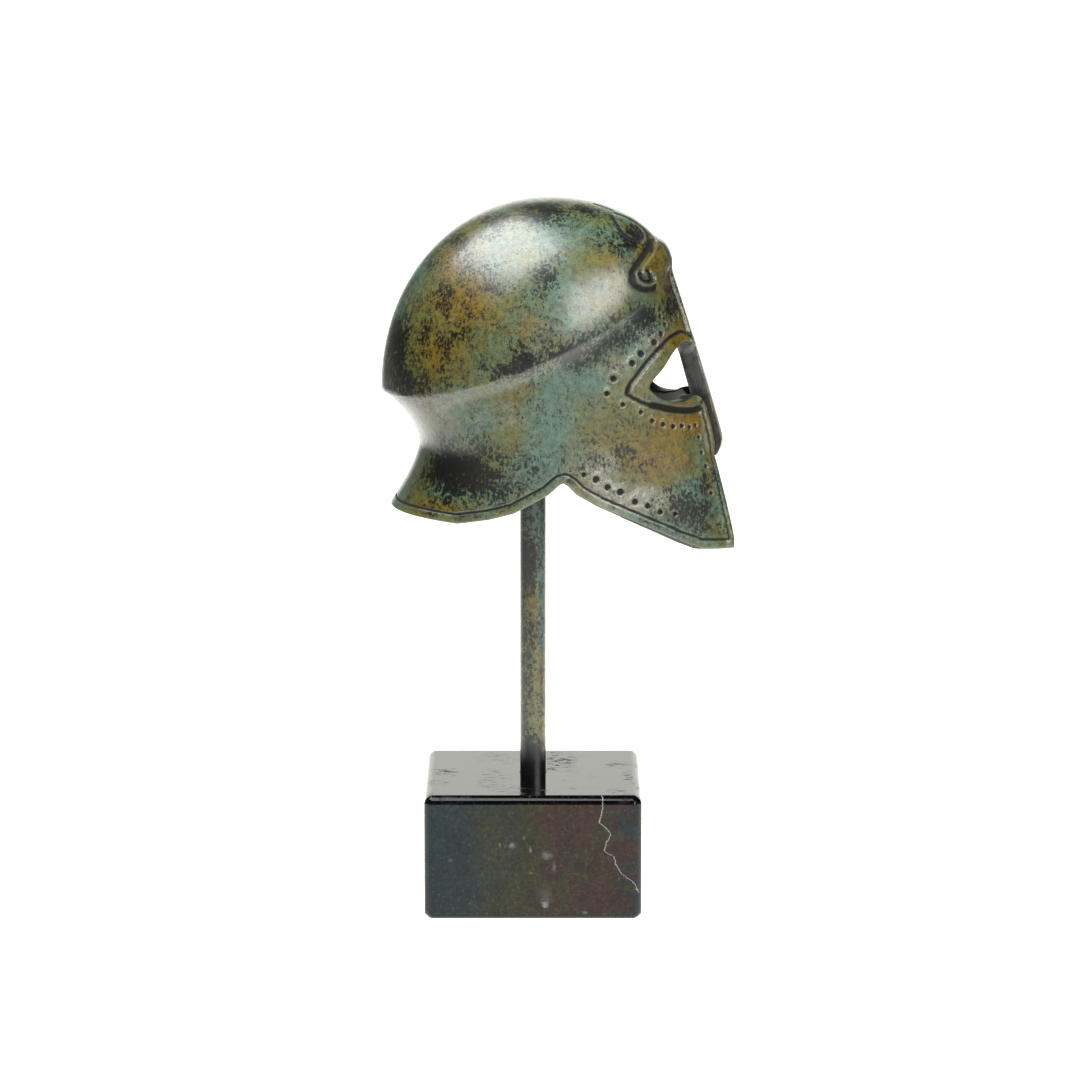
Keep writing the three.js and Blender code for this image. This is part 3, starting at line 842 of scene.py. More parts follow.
def new_group(name, inputs, outputs):
    """A shader node group with its named sockets: (name, kind, default) and (name, kind)."""
    tree = bpy.data.node_groups.new(name, "ShaderNodeTree")
    for label, kind, default in inputs:
        socket = tree.interface.new_socket(label, in_out="INPUT", socket_type="NodeSocket" + kind)
        if default is not None:
            socket.default_value = default
    for label, kind in outputs:
        tree.interface.new_socket(label, in_out="OUTPUT", socket_type="NodeSocket" + kind)
    return tree, tree.nodes.new("NodeGroupInput").outputs, tree.nodes.new("NodeGroupOutput").inputs


def use_group(tree, group, inputs):
    made = tree.nodes.new("ShaderNodeGroup")
    made.node_tree = group
    for key, value in inputs.items():
        if isinstance(value, bpy.types.NodeSocket):
            tree.links.new(value, made.inputs[key])
        else:
            made.inputs[key].default_value = value
    return made.outputs


def new_material(name):
    material = bpy.data.materials.new(name)
    material.use_nodes = True
    tree = material.node_tree
    return material, tree, tree.nodes["Principled BSDF"]


def broken_mask_group():
    """A stain's amount turned into a mask with ragged, mottled edges."""
    tree, given, made = new_group(
        "Broken Mask",
        [("Vector", "Vector", None), ("Amount", "Float", 0.5), ("Scale", "Float", 200.0),
         ("Break", "Float", 1.0), ("Softness", "Float", 0.15)],
        [("Mask", "Float")])
    grain = noise(tree, given["Vector"], given["Scale"], 4.0, 0.6)
    ragged = math(tree, "MULTIPLY", math(tree, "SUBTRACT", grain, 0.5), given["Break"])
    level = math(tree, "ADD", given["Amount"], ragged)
    low = math(tree, "SUBTRACT", 0.5, given["Softness"])
    high = math(tree, "ADD", 0.5, given["Softness"])
    tree.links.new(fade(tree, level, low, high), made["Mask"])
    return tree


def patina_group(broken):
    """Mottled bronze patina: a teal and olive ground, stains by their attributes (the pale one partly
    painted sheen and painted reflection), black speckle, painted shade that turns the hollows black,
    worn ridges (on the dot rims also a painted highlight), grey cut edges and a brown inside."""
    amounts = ["Ochre", "Black", "Teal", "Olive", "Pale", "Hollow", "Ridge", "Inside", "Cut"]
    shades = ["Teal", "Olive", "Ochre", "Black", "Pale", "Worn", "Cut", "Inside"]
    tree, given, made = new_group(
        "Bronze Patina",
        [("Vector", "Vector", None)]
        + [(name, "Float", 0.0) for name in amounts]
        + [(name + " Colour", "Color", None) for name in shades],
        [("Color", "Color"), ("Roughness", "Float"), ("Polish", "Float"), ("Height", "Float")])
    vector = given["Vector"]

    def mask(amount, scale, spread, softness):
        inputs = {"Vector": vector, "Amount": amount, "Scale": scale, "Break": spread,
                  "Softness": softness}
        return use_group(tree, broken, inputs)["Mask"]

    ground = fade(tree, noise(tree, vector, 90.0, 5.0, 0.65), 0.35, 0.65)
    colour = mix(tree, ground, given["Olive Colour"], given["Teal Colour"])
    colour = mix(tree, mask(given["Olive"], 130.0, 1.0, 0.45), colour, given["Olive Colour"])
    colour = mix(tree, mask(given["Teal"], 160.0, 1.2, 0.4), colour, given["Teal Colour"])
    colour = mix(tree, mask(given["Ochre"], 170.0, 1.3, 0.45), colour, given["Ochre Colour"])
    # Pale is partly chalky patina and partly painted sheen and painted reflection.
    colour = mix(tree, mask(given["Pale"], 260.0, 1.0, 0.4), colour, given["Pale Colour"])
    colour = mix(tree, given["Cut"], colour, given["Cut Colour"])
    colour = mix(tree, given["Inside"], colour, given["Inside Colour"])
    grain = fade(tree, noise(tree, vector, 4500.0, 2.0, 0.7), 0.3, 0.7)
    mottle = fade(tree, noise(tree, vector, 700.0, 5.0, 0.75), 0.35, 0.65)
    shade = math(tree, "ADD", math(tree, "MULTIPLY", grain, 0.42), math(tree, "MULTIPLY", mottle, 0.45))
    colour = mix(tree, shade, colour, given["Black Colour"])
    upright = add(tree, "Mapping", {"Vector": vector, "Scale": (1.0, 1.0, 0.7)}).outputs[0]
    speckle = noise(tree, upright, 1500.0, 5.0, 0.75)
    clumps = math(tree, "SUBTRACT", noise(tree, vector, 190.0, 5.0, 0.65), 0.5)
    level = math(tree, "ADD", speckle, math(tree, "MULTIPLY", given["Black"], 0.32))
    level = math(tree, "ADD", level, math(tree, "MULTIPLY", clumps, 0.5))
    spots = fade(tree, level, 0.56, 0.66)
    colour = mix(tree, spots, colour, given["Black Colour"])
    # Worn colour on ridges and edges is wear. On the dot rims it is also a painted highlight.
    worn = math(tree, "MULTIPLY", given["Ridge"], fade(tree, speckle, 0.35, 0.55))
    colour = mix(tree, math(tree, "MULTIPLY", worn, 0.45), colour, given["Worn Colour"])
    # Painted shade: hollow mixes the colour almost to black in the grooves, border lines, nasal step, dot
    # pits and the lower front cut faces.
    colour = mix(tree, math(tree, "MULTIPLY", given["Hollow"], 0.95), colour, given["Black Colour"])
    tree.links.new(colour, made["Color"])
    rough = math(tree, "ADD", math(tree, "MULTIPLY", speckle, 0.2), 0.2)
    tree.links.new(math(tree, "ADD", rough, math(tree, "MULTIPLY", given["Hollow"], 0.6)),
                   made["Roughness"])
    matt = math(tree, "MAXIMUM", math(tree, "MULTIPLY", spots, 0.35), given["Hollow"])
    tree.links.new(math(tree, "SUBTRACT", 1.0, math(tree, "MULTIPLY", matt, 0.9)), made["Polish"])
    fine = noise(tree, vector, 2000.0, 2.0, 0.6)
    tree.links.new(math(tree, "ADD", fine, math(tree, "MULTIPLY", speckle, 0.8)), made["Height"])
    return tree


SHELL_STAINS_AND_PAINTED_LIGHT = ("ochre", "black", "teal", "olive", "pale", "hollow", "ridge", "inside", "cut")
SHADES = ("teal", "olive", "ochre", "black", "pale", "worn", "cut", "inside")


def patina_sockets(colours):
    return {name.title() + " Colour": (*getattr(colours, name), 1) for name in SHADES}


def shared_group(name, make):
    """The node group of that name, made the first time it is wanted."""
    return bpy.data.node_groups.get(name) or make()


def bronze_material(name, colours, stains_and_painted_light):
    """Patinated metal; metal given attribute names also reads its stains, painted light and relief from
    those attributes.
    """
    broken = shared_group("Broken Mask", broken_mask_group)
    patina = shared_group("Bronze Patina", lambda: patina_group(broken))
    material, tree, shader = new_material(name)
    vector = add(tree, "TexCoord").outputs["Object"]
    inputs = {"Vector": vector, **patina_sockets(colours)}
    if stains_and_painted_light:
        inputs.update({key.title(): attribute(tree, key) for key in stains_and_painted_light})
    made = use_group(tree, patina, inputs)
    tree.links.new(made["Color"], shader.inputs["Base Color"])
    tree.links.new(made["Roughness"], shader.inputs["Roughness"])
    raised = add(tree, "Bump", {"Height": made["Height"], "Distance": 0.00008, "Strength": 0.8})
    tree.links.new(raised.outputs[0], shader.inputs["Normal"])
    tree.links.new(made["Polish"], shader.inputs["Coat Weight"])
    shader.inputs["IOR"].default_value = 1.5
    shader.inputs["Coat IOR"].default_value = 1.75
    shader.inputs["Coat Roughness"].default_value = 0.28
    return material


# Light vein down the block's front: x by z
VEIN = np.array([
    (24.5, 6.1), (23.6, 8.2), (22.5, 9.3), (20.3, 11.0), (19.2, 12.9), (18.5, 14.9),
    (16.4, 16.2), (16.9, 18.1), (17.9, 20.0), (17.4, 21.1), (15.3, 23.0), (15.8, 25.2),
    (16.0, 27.0),
])
# Pale flecks on the block's front: x, z, radius along x, radius along z, strength
FLECKS = [
    (-4.8, 17.5, 1.5, 1.2, 0.45), (-2.1, 19.4, 0.6, 0.9, 0.2), (3.0, 15.1, 2.6, 1.6, 0.28),
    (4.9, 12.3, 0.9, 2.4, 0.25), (3.0, 3.5, 1.5, 1.7, 0.7), (-0.4, 11.0, 0.6, 0.5, 0.3),
    (-7.6, 17.6, 0.4, 1.0, 0.3), (12.0, 1.6, 1.0, 0.8, 0.3), (-0.6, 16.5, 0.5, 1.5, 0.4),
    (3.0, 5.0, 3.0, 4.2, 0.12), (-19.0, 14.0, 1.0, 0.9, 0.15),
]
# Scuffs on the block's top: x, y, radius along x, radius along y, strength
TOP_MARKS = [
    (6.5, 13.0, 7.0, 16.0, 1.0), (3.5, 3.0, 4.0, 5.0, 0.9), (-20.5, 0.0, 7.0, 8.0, 0.9),
    (20.0, 8.0, 6.0, 6.0, 0.9), (22.5, -5.0, 3.0, 12.0, 0.8), (19.0, -19.0, 6.0, 5.0, 0.7),
    (-13.0, 16.0, 5.0, 4.0, 0.3),
]
STRIP_X = 24.2  # where the block's upright edges start to turn


def fleck_group():
    """A pale fleck: the distance to its centre, scaled by its radii and made ragged by noise."""
    tree, given, made = new_group(
        "Fleck",
        [("Vector", "Vector", None), ("Centre", "Vector", None), ("Scale", "Vector", None),
         ("Strength", "Float", 0.5)],
        [("Mask", "Float")])
    offset = add(tree, "VectorMath", {0: given["Vector"], 1: given["Centre"]}, operation="SUBTRACT")
    scaled = add(tree, "VectorMath", {0: offset.outputs[0], 1: given["Scale"]}, operation="MULTIPLY")
    reach = add(tree, "VectorMath", {0: scaled.outputs[0]}, operation="LENGTH").outputs["Value"]
    ragged = math(tree, "MULTIPLY", noise(tree, given["Vector"], 900.0, 4.0, 0.7), 1.6)
    mask = fade(tree, math(tree, "ADD", reach, ragged), 1.6, 0.7)
    tree.links.new(math(tree, "MULTIPLY", mask, given["Strength"]), made["Mask"])
    return tree


def stone_group(fleck):
    """Polished black stone: slow blue, olive and maroon clouds with fine mottling, a thin ragged
    vein, pale flecks, painted shade on the upright edge strips, a near-black top edge and top, and
    matt marks on the polish."""
    names = ["Blue", "Olive", "Maroon", "Vein"]
    tree, given, made = new_group(
        "Black Stone",
        [("Vector", "Vector", None), ("Vein Distance", "Float", 9.0)]
        + [(name + " Colour", "Color", None) for name in names],
        [("Color", "Color"), ("Roughness", "Float")])
    place = given["Vector"]
    xyz = add(tree, "SeparateXYZ", {0: place}).outputs
    cloud = math(tree, "SUBTRACT", noise(tree, place, 110.0, 6.0, 0.7), 0.5)
    across = math(tree, "ADD", xyz["X"], math(tree, "MULTIPLY", cloud, 0.04))
    colour = mix(tree, fade(tree, across, -0.02, -0.002), given["Blue Colour"],
                 given["Olive Colour"])
    colour = mix(tree, fade(tree, across, -0.004, 0.008), colour, given["Maroon Colour"])
    colour = mix(tree, fade(tree, across, 0.02, 0.025), colour, given["Blue Colour"])
    patches = fade(tree, noise(tree, place, 230.0, 6.0, 0.78), 0.5, 0.56)
    patches = math(tree, "MULTIPLY", patches, fade(tree, across, -0.016, 0.0))
    colour = mix(tree, math(tree, "MULTIPLY", patches, 0.8), colour, given["Olive Colour"])
    dark = noise(tree, place, 260.0, 6.0, 0.75)
    colour = mix(tree, math(tree, "MULTIPLY", fade(tree, dark, 0.45, 0.7), 0.6), colour,
                 (0.002, 0.002, 0.003, 1))
    grain = noise(tree, place, 1500.0, 3.0, 0.75)
    dim = mix(tree, 0.6, colour, (0.001, 0.001, 0.001, 1))
    colour = mix(tree, fade(tree, grain, 0.35, 0.6), dim, colour)
    specks = math(tree, "MULTIPLY", fade(tree, grain, 0.58, 0.8), 0.2)
    ragged = math(tree, "MULTIPLY", math(tree, "SUBTRACT", noise(tree, place, 700.0, 3.0, 0.8), 0.5), 1.4)
    vein = math(tree, "ABSOLUTE", math(tree, "ADD", given["Vein Distance"], ragged))
    pale = math(tree, "MAXIMUM", specks, math(tree, "MULTIPLY", fade(tree, vein, 0.17, 0.03), 0.8))
    for x, z, wide, tall, strength in FLECKS:
        inputs = {"Vector": place, "Centre": (x * MM, BLOCK_LOW[1] * MM, z * MM),
                  "Scale": (1000 / wide, 1000.0, 1000 / tall), "Strength": strength}
        pale = math(tree, "MAXIMUM", pale, use_group(tree, fleck, inputs)["Mask"])
    # Painted shade: the upright edge strips are mixed 70 % of the way to near black, and the top edge and
    # the top all the way.
    side = fade(tree, math(tree, "ABSOLUTE", xyz["X"]), STRIP_X * MM, (STRIP_X + 0.2) * MM)
    top = fade(tree, xyz["Z"], (BLOCK_HIGH[2] - 2.2) * MM, (BLOCK_HIGH[2] - 1.4) * MM)
    dull_marks_and_painted_shade = math(tree, "MAXIMUM", math(tree, "MULTIPLY", side, 0.7), top)
    colour = mix(tree, dull_marks_and_painted_shade, colour, (0.002, 0.002, 0.003, 1))
    tree.links.new(mix(tree, pale, colour, given["Vein Colour"]), made["Color"])
    long = add(tree, "Mapping", {"Vector": place, "Scale": (0.35, 1.0, 1.0)}).outputs[0]
    dull_marks_and_painted_shade = fade(tree, noise(tree, long, 900.0, 6.0, 0.8), 0.5, 0.58)
    worn = fade(tree, noise(tree, place, 70.0, 2.0), 0.5, 0.62)
    marks = math(tree, "MULTIPLY", math(tree, "MULTIPLY", dull_marks_and_painted_shade, worn), 0.3)
    for x, y, wide, deep, strength in TOP_MARKS:
        inputs = {"Vector": place, "Centre": (x * MM, y * MM, BLOCK_HIGH[2] * MM),
                  "Scale": (1000 / wide, 1000 / deep, 1000.0), "Strength": strength}
        scuff = use_group(tree, fleck, inputs)["Mask"]
        marks = math(tree, "MAXIMUM", marks, math(tree, "MULTIPLY", scuff, dull_marks_and_painted_shade))
    tree.links.new(math(tree, "ADD", marks, 0.07), made["Roughness"])
    return tree


def marble_material(colours):
    fleck = shared_group("Fleck", fleck_group)
    stone = shared_group("Black Stone", lambda: stone_group(fleck))
    material, tree, shader = new_material("Marble")
    place = add(tree, "TexCoord").outputs["Object"]
    made = use_group(tree, stone, {
        "Vector": place, "Vein Distance": attribute(tree, "vein"),
        "Blue Colour": (*colours.marble_blue, 1), "Olive Colour": (*colours.marble_olive, 1),
        "Maroon Colour": (*colours.marble_maroon, 1), "Vein Colour": (*colours.marble_vein, 1),
    })
    tree.links.new(made["Color"], shader.inputs["Base Color"])
    tree.links.new(made["Roughness"], shader.inputs["Roughness"])
    shader.inputs["IOR"].default_value = 1.37
    return material


# ---------------------------------------------------------------- pieces


def build_shell(shape, colours):
    """The helmet: outer and inner walls from the chart, rim strips, and the boss on the rod."""
    chart, triangles = base_grid(shape.grid_step / MM)
    outer_chart, outer = cut_opening(*refine(chart, triangles, surface_fineness, DOT_FINENESS))
    inner_chart, inner = cut_opening(*refine(chart, triangles, inner_fineness, DOT_FINENESS))
    outer_chart, outer = merged(outer_chart, outer, shell_point(outer_chart))
    inner_chart, inner = merged(inner_chart, inner, shell_point(inner_chart))
    plain = shell_point(outer_chart)
    relief = surface_relief(plain, shape)
    face = plain + shell_normal(outer_chart) * relief.height[:, None]
    centre = np.abs(plain[:, 1]) < 1e-4
    face[centre, 1] = 0
    back = shell_point(inner_chart, -shape.wall / MM)
    inner_centre = np.abs(shell_point(inner_chart)[:, 1]) < 1e-4
    back[inner_centre, 1] = 0
    rim = np.unique(open_edges(outer))
    _, at = np.unique(np.round(np.vstack([inner_chart, outer_chart[rim]]), 6), axis=0,
                      return_inverse=True)
    known = np.full(at.max() + 1, -1)
    known[at.ravel()[:len(inner_chart)]] = np.arange(len(inner_chart))
    inner_of = np.full(len(outer_chart), -1)
    inner_of[rim] = known[at.ravel()[len(inner_chart):]]
    front, outer_faces, front_half = mirrored(face, outer, centre)
    rear, inner_faces, rear_half = mirrored(back, inner, inner_centre)
    front += 0.12 * undulation(front)[:, None] * (0.0, 1.0, 0.0) * np.sign(front[:, 1:2])
    edges = open_edges(outer_faces)
    partner_of = np.full(len(front), -1)
    partner_of[:len(face)] = inner_of
    off = ~centre
    matched = inner_of[off]
    partner_of[front_half[off]] = np.where(matched >= 0, rear_half[matched], -1)
    partner_of[partner_of >= 0] += len(front)
    points = np.vstack([front, rear])
    points, strips = rim_strips(points, edges, np.concatenate([partner_of, np.full(len(rear), -1)]),
                                5, shape.edge_round / MM)
    points = np.clip(settled(points), SHELL_LOW, SHELL_HIGH)
    faces = [outer_faces, inner_faces[:, ::-1] + len(front), strips]
    count = len(points)
    extra = {"hollow": np.zeros(count), "ridge": np.zeros(count)}
    for key, values in (("hollow", relief.hollow), ("ridge", relief.ridge)):
        extra[key][:len(face)] = values
        extra[key][front_half[off]] = values[off]
    extra["inside"] = np.zeros(count)
    extra["inside"][len(front):len(front) + len(rear)] = 1
    extra["cut"] = np.zeros(count)
    extra["cut"][len(front) + len(rear):] = 1
    # Painted shade: the cut faces at the front below the eyes (x over 20, z under about 120) count as
    # hollow and are painted dark.
    lower_lip_painted_shade = smoothstep(121.5, 118.5, points[:, 2]) * (points[:, 0] > 20)
    extra["hollow"] = np.maximum(extra["hollow"], 0.8 * lower_lip_painted_shade * extra["cut"])
    for key, stains in STAIN_AND_SHEEN_BLOTS.items():
        extra[key] = stain_amount(points, stains)
    level = np.full(count, 3.0)
    level[:len(face)] = outer_chart[:, 1]
    level[front_half[off]] = outer_chart[off, 1]
    # Pale, which holds painted reflection and painted sheen, is kept only below the crease, so it ends in
    # a crisp edge there.
    extra["pale"] *= level > 0.999
    boss, ring = lathe(
        [(ROD_RADIUS, BOSS_TOP), (ROD_RADIUS, BOSS_FOOT), (BOSS_RADIUS, BOSS_FOOT),
         (BOSS_RADIUS, BOSS_TOP)], AXIS, 64)
    faces.append(ring + len(points))
    points = np.vstack([points, boss])
    attributes = [(key, np.concatenate([values, np.zeros(len(boss))]))
                  for key, values in extra.items()]
    helmet = write_mesh("helmet", points, faces, attributes)
    helmet.data.materials.append(bronze_material("Patinated Bronze", colours, SHELL_STAINS_AND_PAINTED_LIGHT))
    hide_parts("helmet_shell")
    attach(helmet, ROOT)
    return helmet


AXIS = (ROD_LOW + ROD_HIGH)[:2] / 2
ROD_RADIUS = (ROD_HIGH - ROD_LOW)[0] / 2
BOSS_RADIUS, BOSS_FOOT, BOSS_TOP = 6.5, 149.0, 162.0


def build_rod(shape, colours):
    """The rod: a lathe of even radius with a small chamfer at both ends."""
    low, high, cut = ROD_LOW[2], ROD_HIGH[2], 0.4
    rows = [(0, low), (ROD_RADIUS - cut, low), (ROD_RADIUS, low + cut)]
    rows += [(ROD_RADIUS, z) for z in np.linspace(low + 1, high - 1, 60)]
    rows += [(ROD_RADIUS, high - cut), (ROD_RADIUS - cut, high), (0, high)]
    points, quads, triangles = welded(*lathe(rows, AXIS, 72))
    across = (points[:, 0] - AXIS[0]) / ROD_RADIUS
    z = points[:, 2]
    middle = smoothstep(57, 62, z) * smoothstep(76, 70, z)
    stains = [
        ("ochre", 0.9 * bump(across - 0.05, 0.5) * middle
         + 0.6 * smoothstep(0.3, 0.7, across) * smoothstep(60, 54, z)),
        ("teal", 0.8 * smoothstep(0.1, 0.5, across) * smoothstep(56, 62, z)
         + 0.6 * smoothstep(81, 87, z)),
        ("olive", 1.2 * smoothstep(84, 78, z)),
        # Black on the rod: a base amount, painted shade down its left (-x) side, darker towards the foot,
        # and a painted shadow of the helmet around z 79 on its left and middle.
        ("black", 0.25 + 0.2 * smoothstep(0.3, -0.6, across) + 0.7 * smoothstep(41, 31, z)
         + 0.3 * bump(z - 79, 7) * smoothstep(0.6, 0.1, across)),
    ]
    rod = write_mesh("rod", points, [quads, triangles], stains)
    rod.data.materials.append(bronze_material("Rod Metal", colours, ("ochre", "black", "teal", "olive")))
    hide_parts("stand_rod")
    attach(rod, ROOT)
    return rod


# Facets of the block's upper edge: inset and drop, as shares of its rounding
TOP_FACETS = [(0.03, 0.9), (0.16, 0.56), (0.3, 0.4), (0.62, 0.13), (0.8, 0.04), (1.0, 0.0)]


def block_ring(reach, corner, z):
    """One closed ring of the block: four straight sides and four quarter circles."""
    flat = np.linspace(-(reach - corner), reach - corner, 24)
    arc = np.radians([6.0, 84.0])
    x = np.concatenate([flat, reach - corner + corner * np.sin(arc)])
    y = np.concatenate([np.full_like(flat, -reach), -(reach - corner) - corner * np.cos(arc)])
    side = np.stack([x, y], 1)
    turned = [side @ np.array([(c, s), (-s, c)]) for c, s in ((1, 0), (0, 1), (-1, 0), (0, -1))]
    ring = np.vstack(turned)
    return np.column_stack([ring, np.full(len(ring), z)])


def build_block(shape, colours):
    """The marble block: closed rings stacked up its side, drawn in by quarter circles at the foot
    and the top, and a round socket for the rod."""
    half = (BLOCK_HIGH - BLOCK_LOW)[0] / 2
    low, high = BLOCK_LOW[2], BLOCK_HIGH[2]
    edge, foot_edge = shape.edge_round / MM, shape.foot_round / MM
    side = np.unique(np.concatenate([np.linspace(low + foot_edge, high - edge, 28), VEIN[:, 1]]))
    side = side[(side >= low + foot_edge) & (side <= high - edge)]
    foot = [(half - foot_edge, low), (half - 0.9 * foot_edge, low + 0.04 * foot_edge)]
    top = [(half - edge * inset, high - edge * drop) for inset, drop in TOP_FACETS]
    rings = foot + [(half, z) for z in side] + top
    corner = shape.corner_round / MM
    stack = [block_ring(reach, max(corner - (half - reach), 0.15), z) for reach, z in rings]
    angle = np.arctan2(stack[-1][:, 1], stack[-1][:, 0])
    hole = np.stack([np.cos(angle), np.sin(angle)], 1) * ROD_RADIUS * 1.05
    for z in (high, ROD_LOW[2]):
        stack.append(np.column_stack([hole, np.full(len(hole), z)]))
    points = np.vstack(stack)
    index = np.arange(len(points)).reshape(len(stack), -1)
    following = np.roll(index, -1, axis=1)
    quads = np.stack([index[:-1], following[:-1], following[1:], index[1:]], -1).reshape(-1, 4)
    lids = [index[0][::-1][None, :], index[-1][None, :]]
    across = points[quads[:, 2]] - points[quads[:, 0]]
    normal = np.cross(across, points[quads[:, 3]] - points[quads[:, 1]])
    normal = np.abs(normal) / np.maximum(np.linalg.norm(normal, axis=1, keepdims=True), 1e-12)
    rounded = np.append(normal.max(1) < 0.9999, [False, False])
    vein_x = np.interp(points[:, 2], VEIN[:, 1], VEIN[:, 0])
    on_front = (points[:, 1] < -half + edge) & (points[:, 2] > VEIN[0, 1] - 0.1)
    vein = np.where(on_front, points[:, 0] - vein_x, 9.0)
    block = write_mesh("block", points, [quads] + lids, [("vein", vein)], rounded)
    block.data.materials.append(marble_material(colours))
    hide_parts("marble_base")
    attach(block, ROOT)
    return block


# ---------------------------------------------------------------- stage


def build_sweep(stage):
    """A pale sheet: flat floor, then a quarter turn of radius r up into a flat back wall. Its own
    glow is full behind and under the object and falls off to the sides and the front."""
    radius, back, front, width, tall = 0.6, 1.0, -1.2, 2.4, 1.6
    bend = np.linspace(0, np.pi / 2, 24)
    profile = np.vstack([
        np.stack([np.linspace(front, back, 60), np.zeros(60)], 1)[:-1],
        np.stack([back + radius * np.sin(bend), radius * (1 - np.cos(bend))], 1),
        np.stack([np.full(20, back + radius), np.linspace(radius, tall, 20)], 1)[1:],
    ])
    across = np.linspace(-width, width, 97)
    points = np.stack([
        np.broadcast_to(across, (len(profile), len(across))),
        np.broadcast_to(profile[:, :1], (len(profile), len(across))),
        np.broadcast_to(profile[:, 1:], (len(profile), len(across))),
    ], -1).reshape(-1, 3)
    x, y, z = points.T
    seen = 0.15 + 0.12 * np.maximum(y, 0.0)
    glow = smoothstep(seen + 0.2, seen, np.abs(x)) * smoothstep(-0.32, -0.16, y)
    glow = FLOOR_DIM + (1 - FLOOR_DIM) * glow * smoothstep(1.3, 0.7, z)
    index = np.arange(len(points)).reshape(len(profile), -1)
    quads = np.stack([index[:-1, :-1], index[:-1, 1:], index[1:, 1:], index[1:, :-1]], -1)
    points = points / MM - (0, 0, 0.2)
    sweep = write_mesh("sweep", points, [quads.reshape(-1, 4)], [("glow", glow)])
    material, tree, shader = new_material("Pale Floor")
    shader.inputs["Base Color"].default_value = (0.2, 0.2, 0.2, 1)
    shader.inputs["Roughness"].default_value = 1.0
    shader.inputs["Specular IOR Level"].default_value = 0.0
    glow_colour = mix(tree, attribute(tree, "glow"), (0.0, 0.0, 0.0, 1), (1.0, 1.0, 0.93, 1))
    tree.links.new(glow_colour, shader.inputs["Emission Color"])
    shader.inputs["Emission Strength"].default_value = stage.floor_glow
    sweep.data.materials.append(material)
    sweep.visible_diffuse = False
    return sweep


FLOOR_DIM = 0.05  # glow of the sweep's far sides beside its middle


def build_light(name, direction, distance, size, power, target):
    """A rectangular soft light at that direction and distance, turned to face the target."""
    light = bpy.data.lights.new(name, "AREA")
    light.shape = "RECTANGLE"
    light.size, light.size_y = size
    light.energy = power
    lamp = bpy.data.objects.new(name, light)
    unit = np.array(direction) / np.linalg.norm(direction)
    lamp.location = np.array(target) + unit * distance
    lamp.rotation_euler = Vector(unit).to_track_quat("Z", "Y").to_euler()
    bpy.context.scene.collection.objects.link(lamp)
    return lamp


def build_stage(stage):
    """Floor, lights, surroundings and camera."""
    scene = bpy.context.scene
    build_sweep(stage)
    target = (0.002, 0.0, 0.13)
    build_light("overhead light", (-0.34, -0.16, 0.92), 0.9, (1.15, 0.64), stage.overhead, target)
    build_light("right light", (0.64, -0.7, 0.32), 1.0, (0.75, 0.5), stage.right, target)
    fill = build_light("fill light", (0.2, -0.96, 0.18), 1.1, (1.0, 1.0), stage.fill, target)
    fill.visible_glossy = False
    world = bpy.data.worlds.new("surroundings")
    world.use_nodes = True
    background = world.node_tree.nodes["Background"]
    background.inputs["Color"].default_value = (1, 1, 1, 1)
    background.inputs["Strength"].default_value = stage.surroundings
    scene.world = world
    scene.view_settings.view_transform = "Standard"
    camera = bpy.data.cameras.new("camera")
    camera.lens, camera.sensor_width = 179.4, 36.0
    camera.clip_end = 20.0
    eye = bpy.data.objects.new("camera", camera)
    pitch = stage.pitch
    offset = np.array([0, -np.cos(pitch), np.sin(pitch)]) * stage.distance
    eye.location = np.array([0.00164, 0.0, 0.08435]) + offset
    eye.rotation_euler = (np.pi / 2 - pitch, 0, 0)
    scene.collection.objects.link(eye)
    scene.camera = eye


# ---------------------------------------------------------------- settings


def length(name, description, default):
    return bpy.props.FloatProperty(
        name=name, description=description, default=default, unit="LENGTH", precision=5)


def colour(name, description, default):
    return bpy.props.FloatVectorProperty(
        name=name, description=description, default=default, subtype="COLOR", size=3,
        min=0.0, max=1.0)


def amount(name, description, default):
    return bpy.props.FloatProperty(name=name, description=description, default=default, min=0.0)


class HelmetShape(bpy.types.PropertyGroup):
    """Sizes of the helmet and its relief."""

    wall: length("Wall", "Thickness of the shell", 0.003)
    grid_step: length("Grid Step", "Spacing of the plain surface's grid", 0.00125)
    edge_round: length("Edge Rounding", "How far the free edges bulge", 0.0003)
    lip_height: length("Lip Height", "Rise of the strip around the eyes", 0.00035)
    border_inset: length("Border Inset", "Distance of the border line from the edge", 0.002)
    band_height: length("Band Height", "Rise of the nasal band", 0.001)
    dot_depth: length("Dot Depth", "Depth of the punched dots", 0.0006)
    boss_height: length("Boss Height", "Rise of the forehead ornament", 0.0012)


class StandShape(bpy.types.PropertyGroup):
    """Sizes of the stand's details."""

    edge_round: length("Edge Rounding", "Size of the block's upper edges", 0.0019)
    foot_round: length("Foot Rounding", "Radius of the block's lower edges", 0.0011)
    corner_round: length("Corner Rounding", "Radius of the block's upright edges", 0.0018)


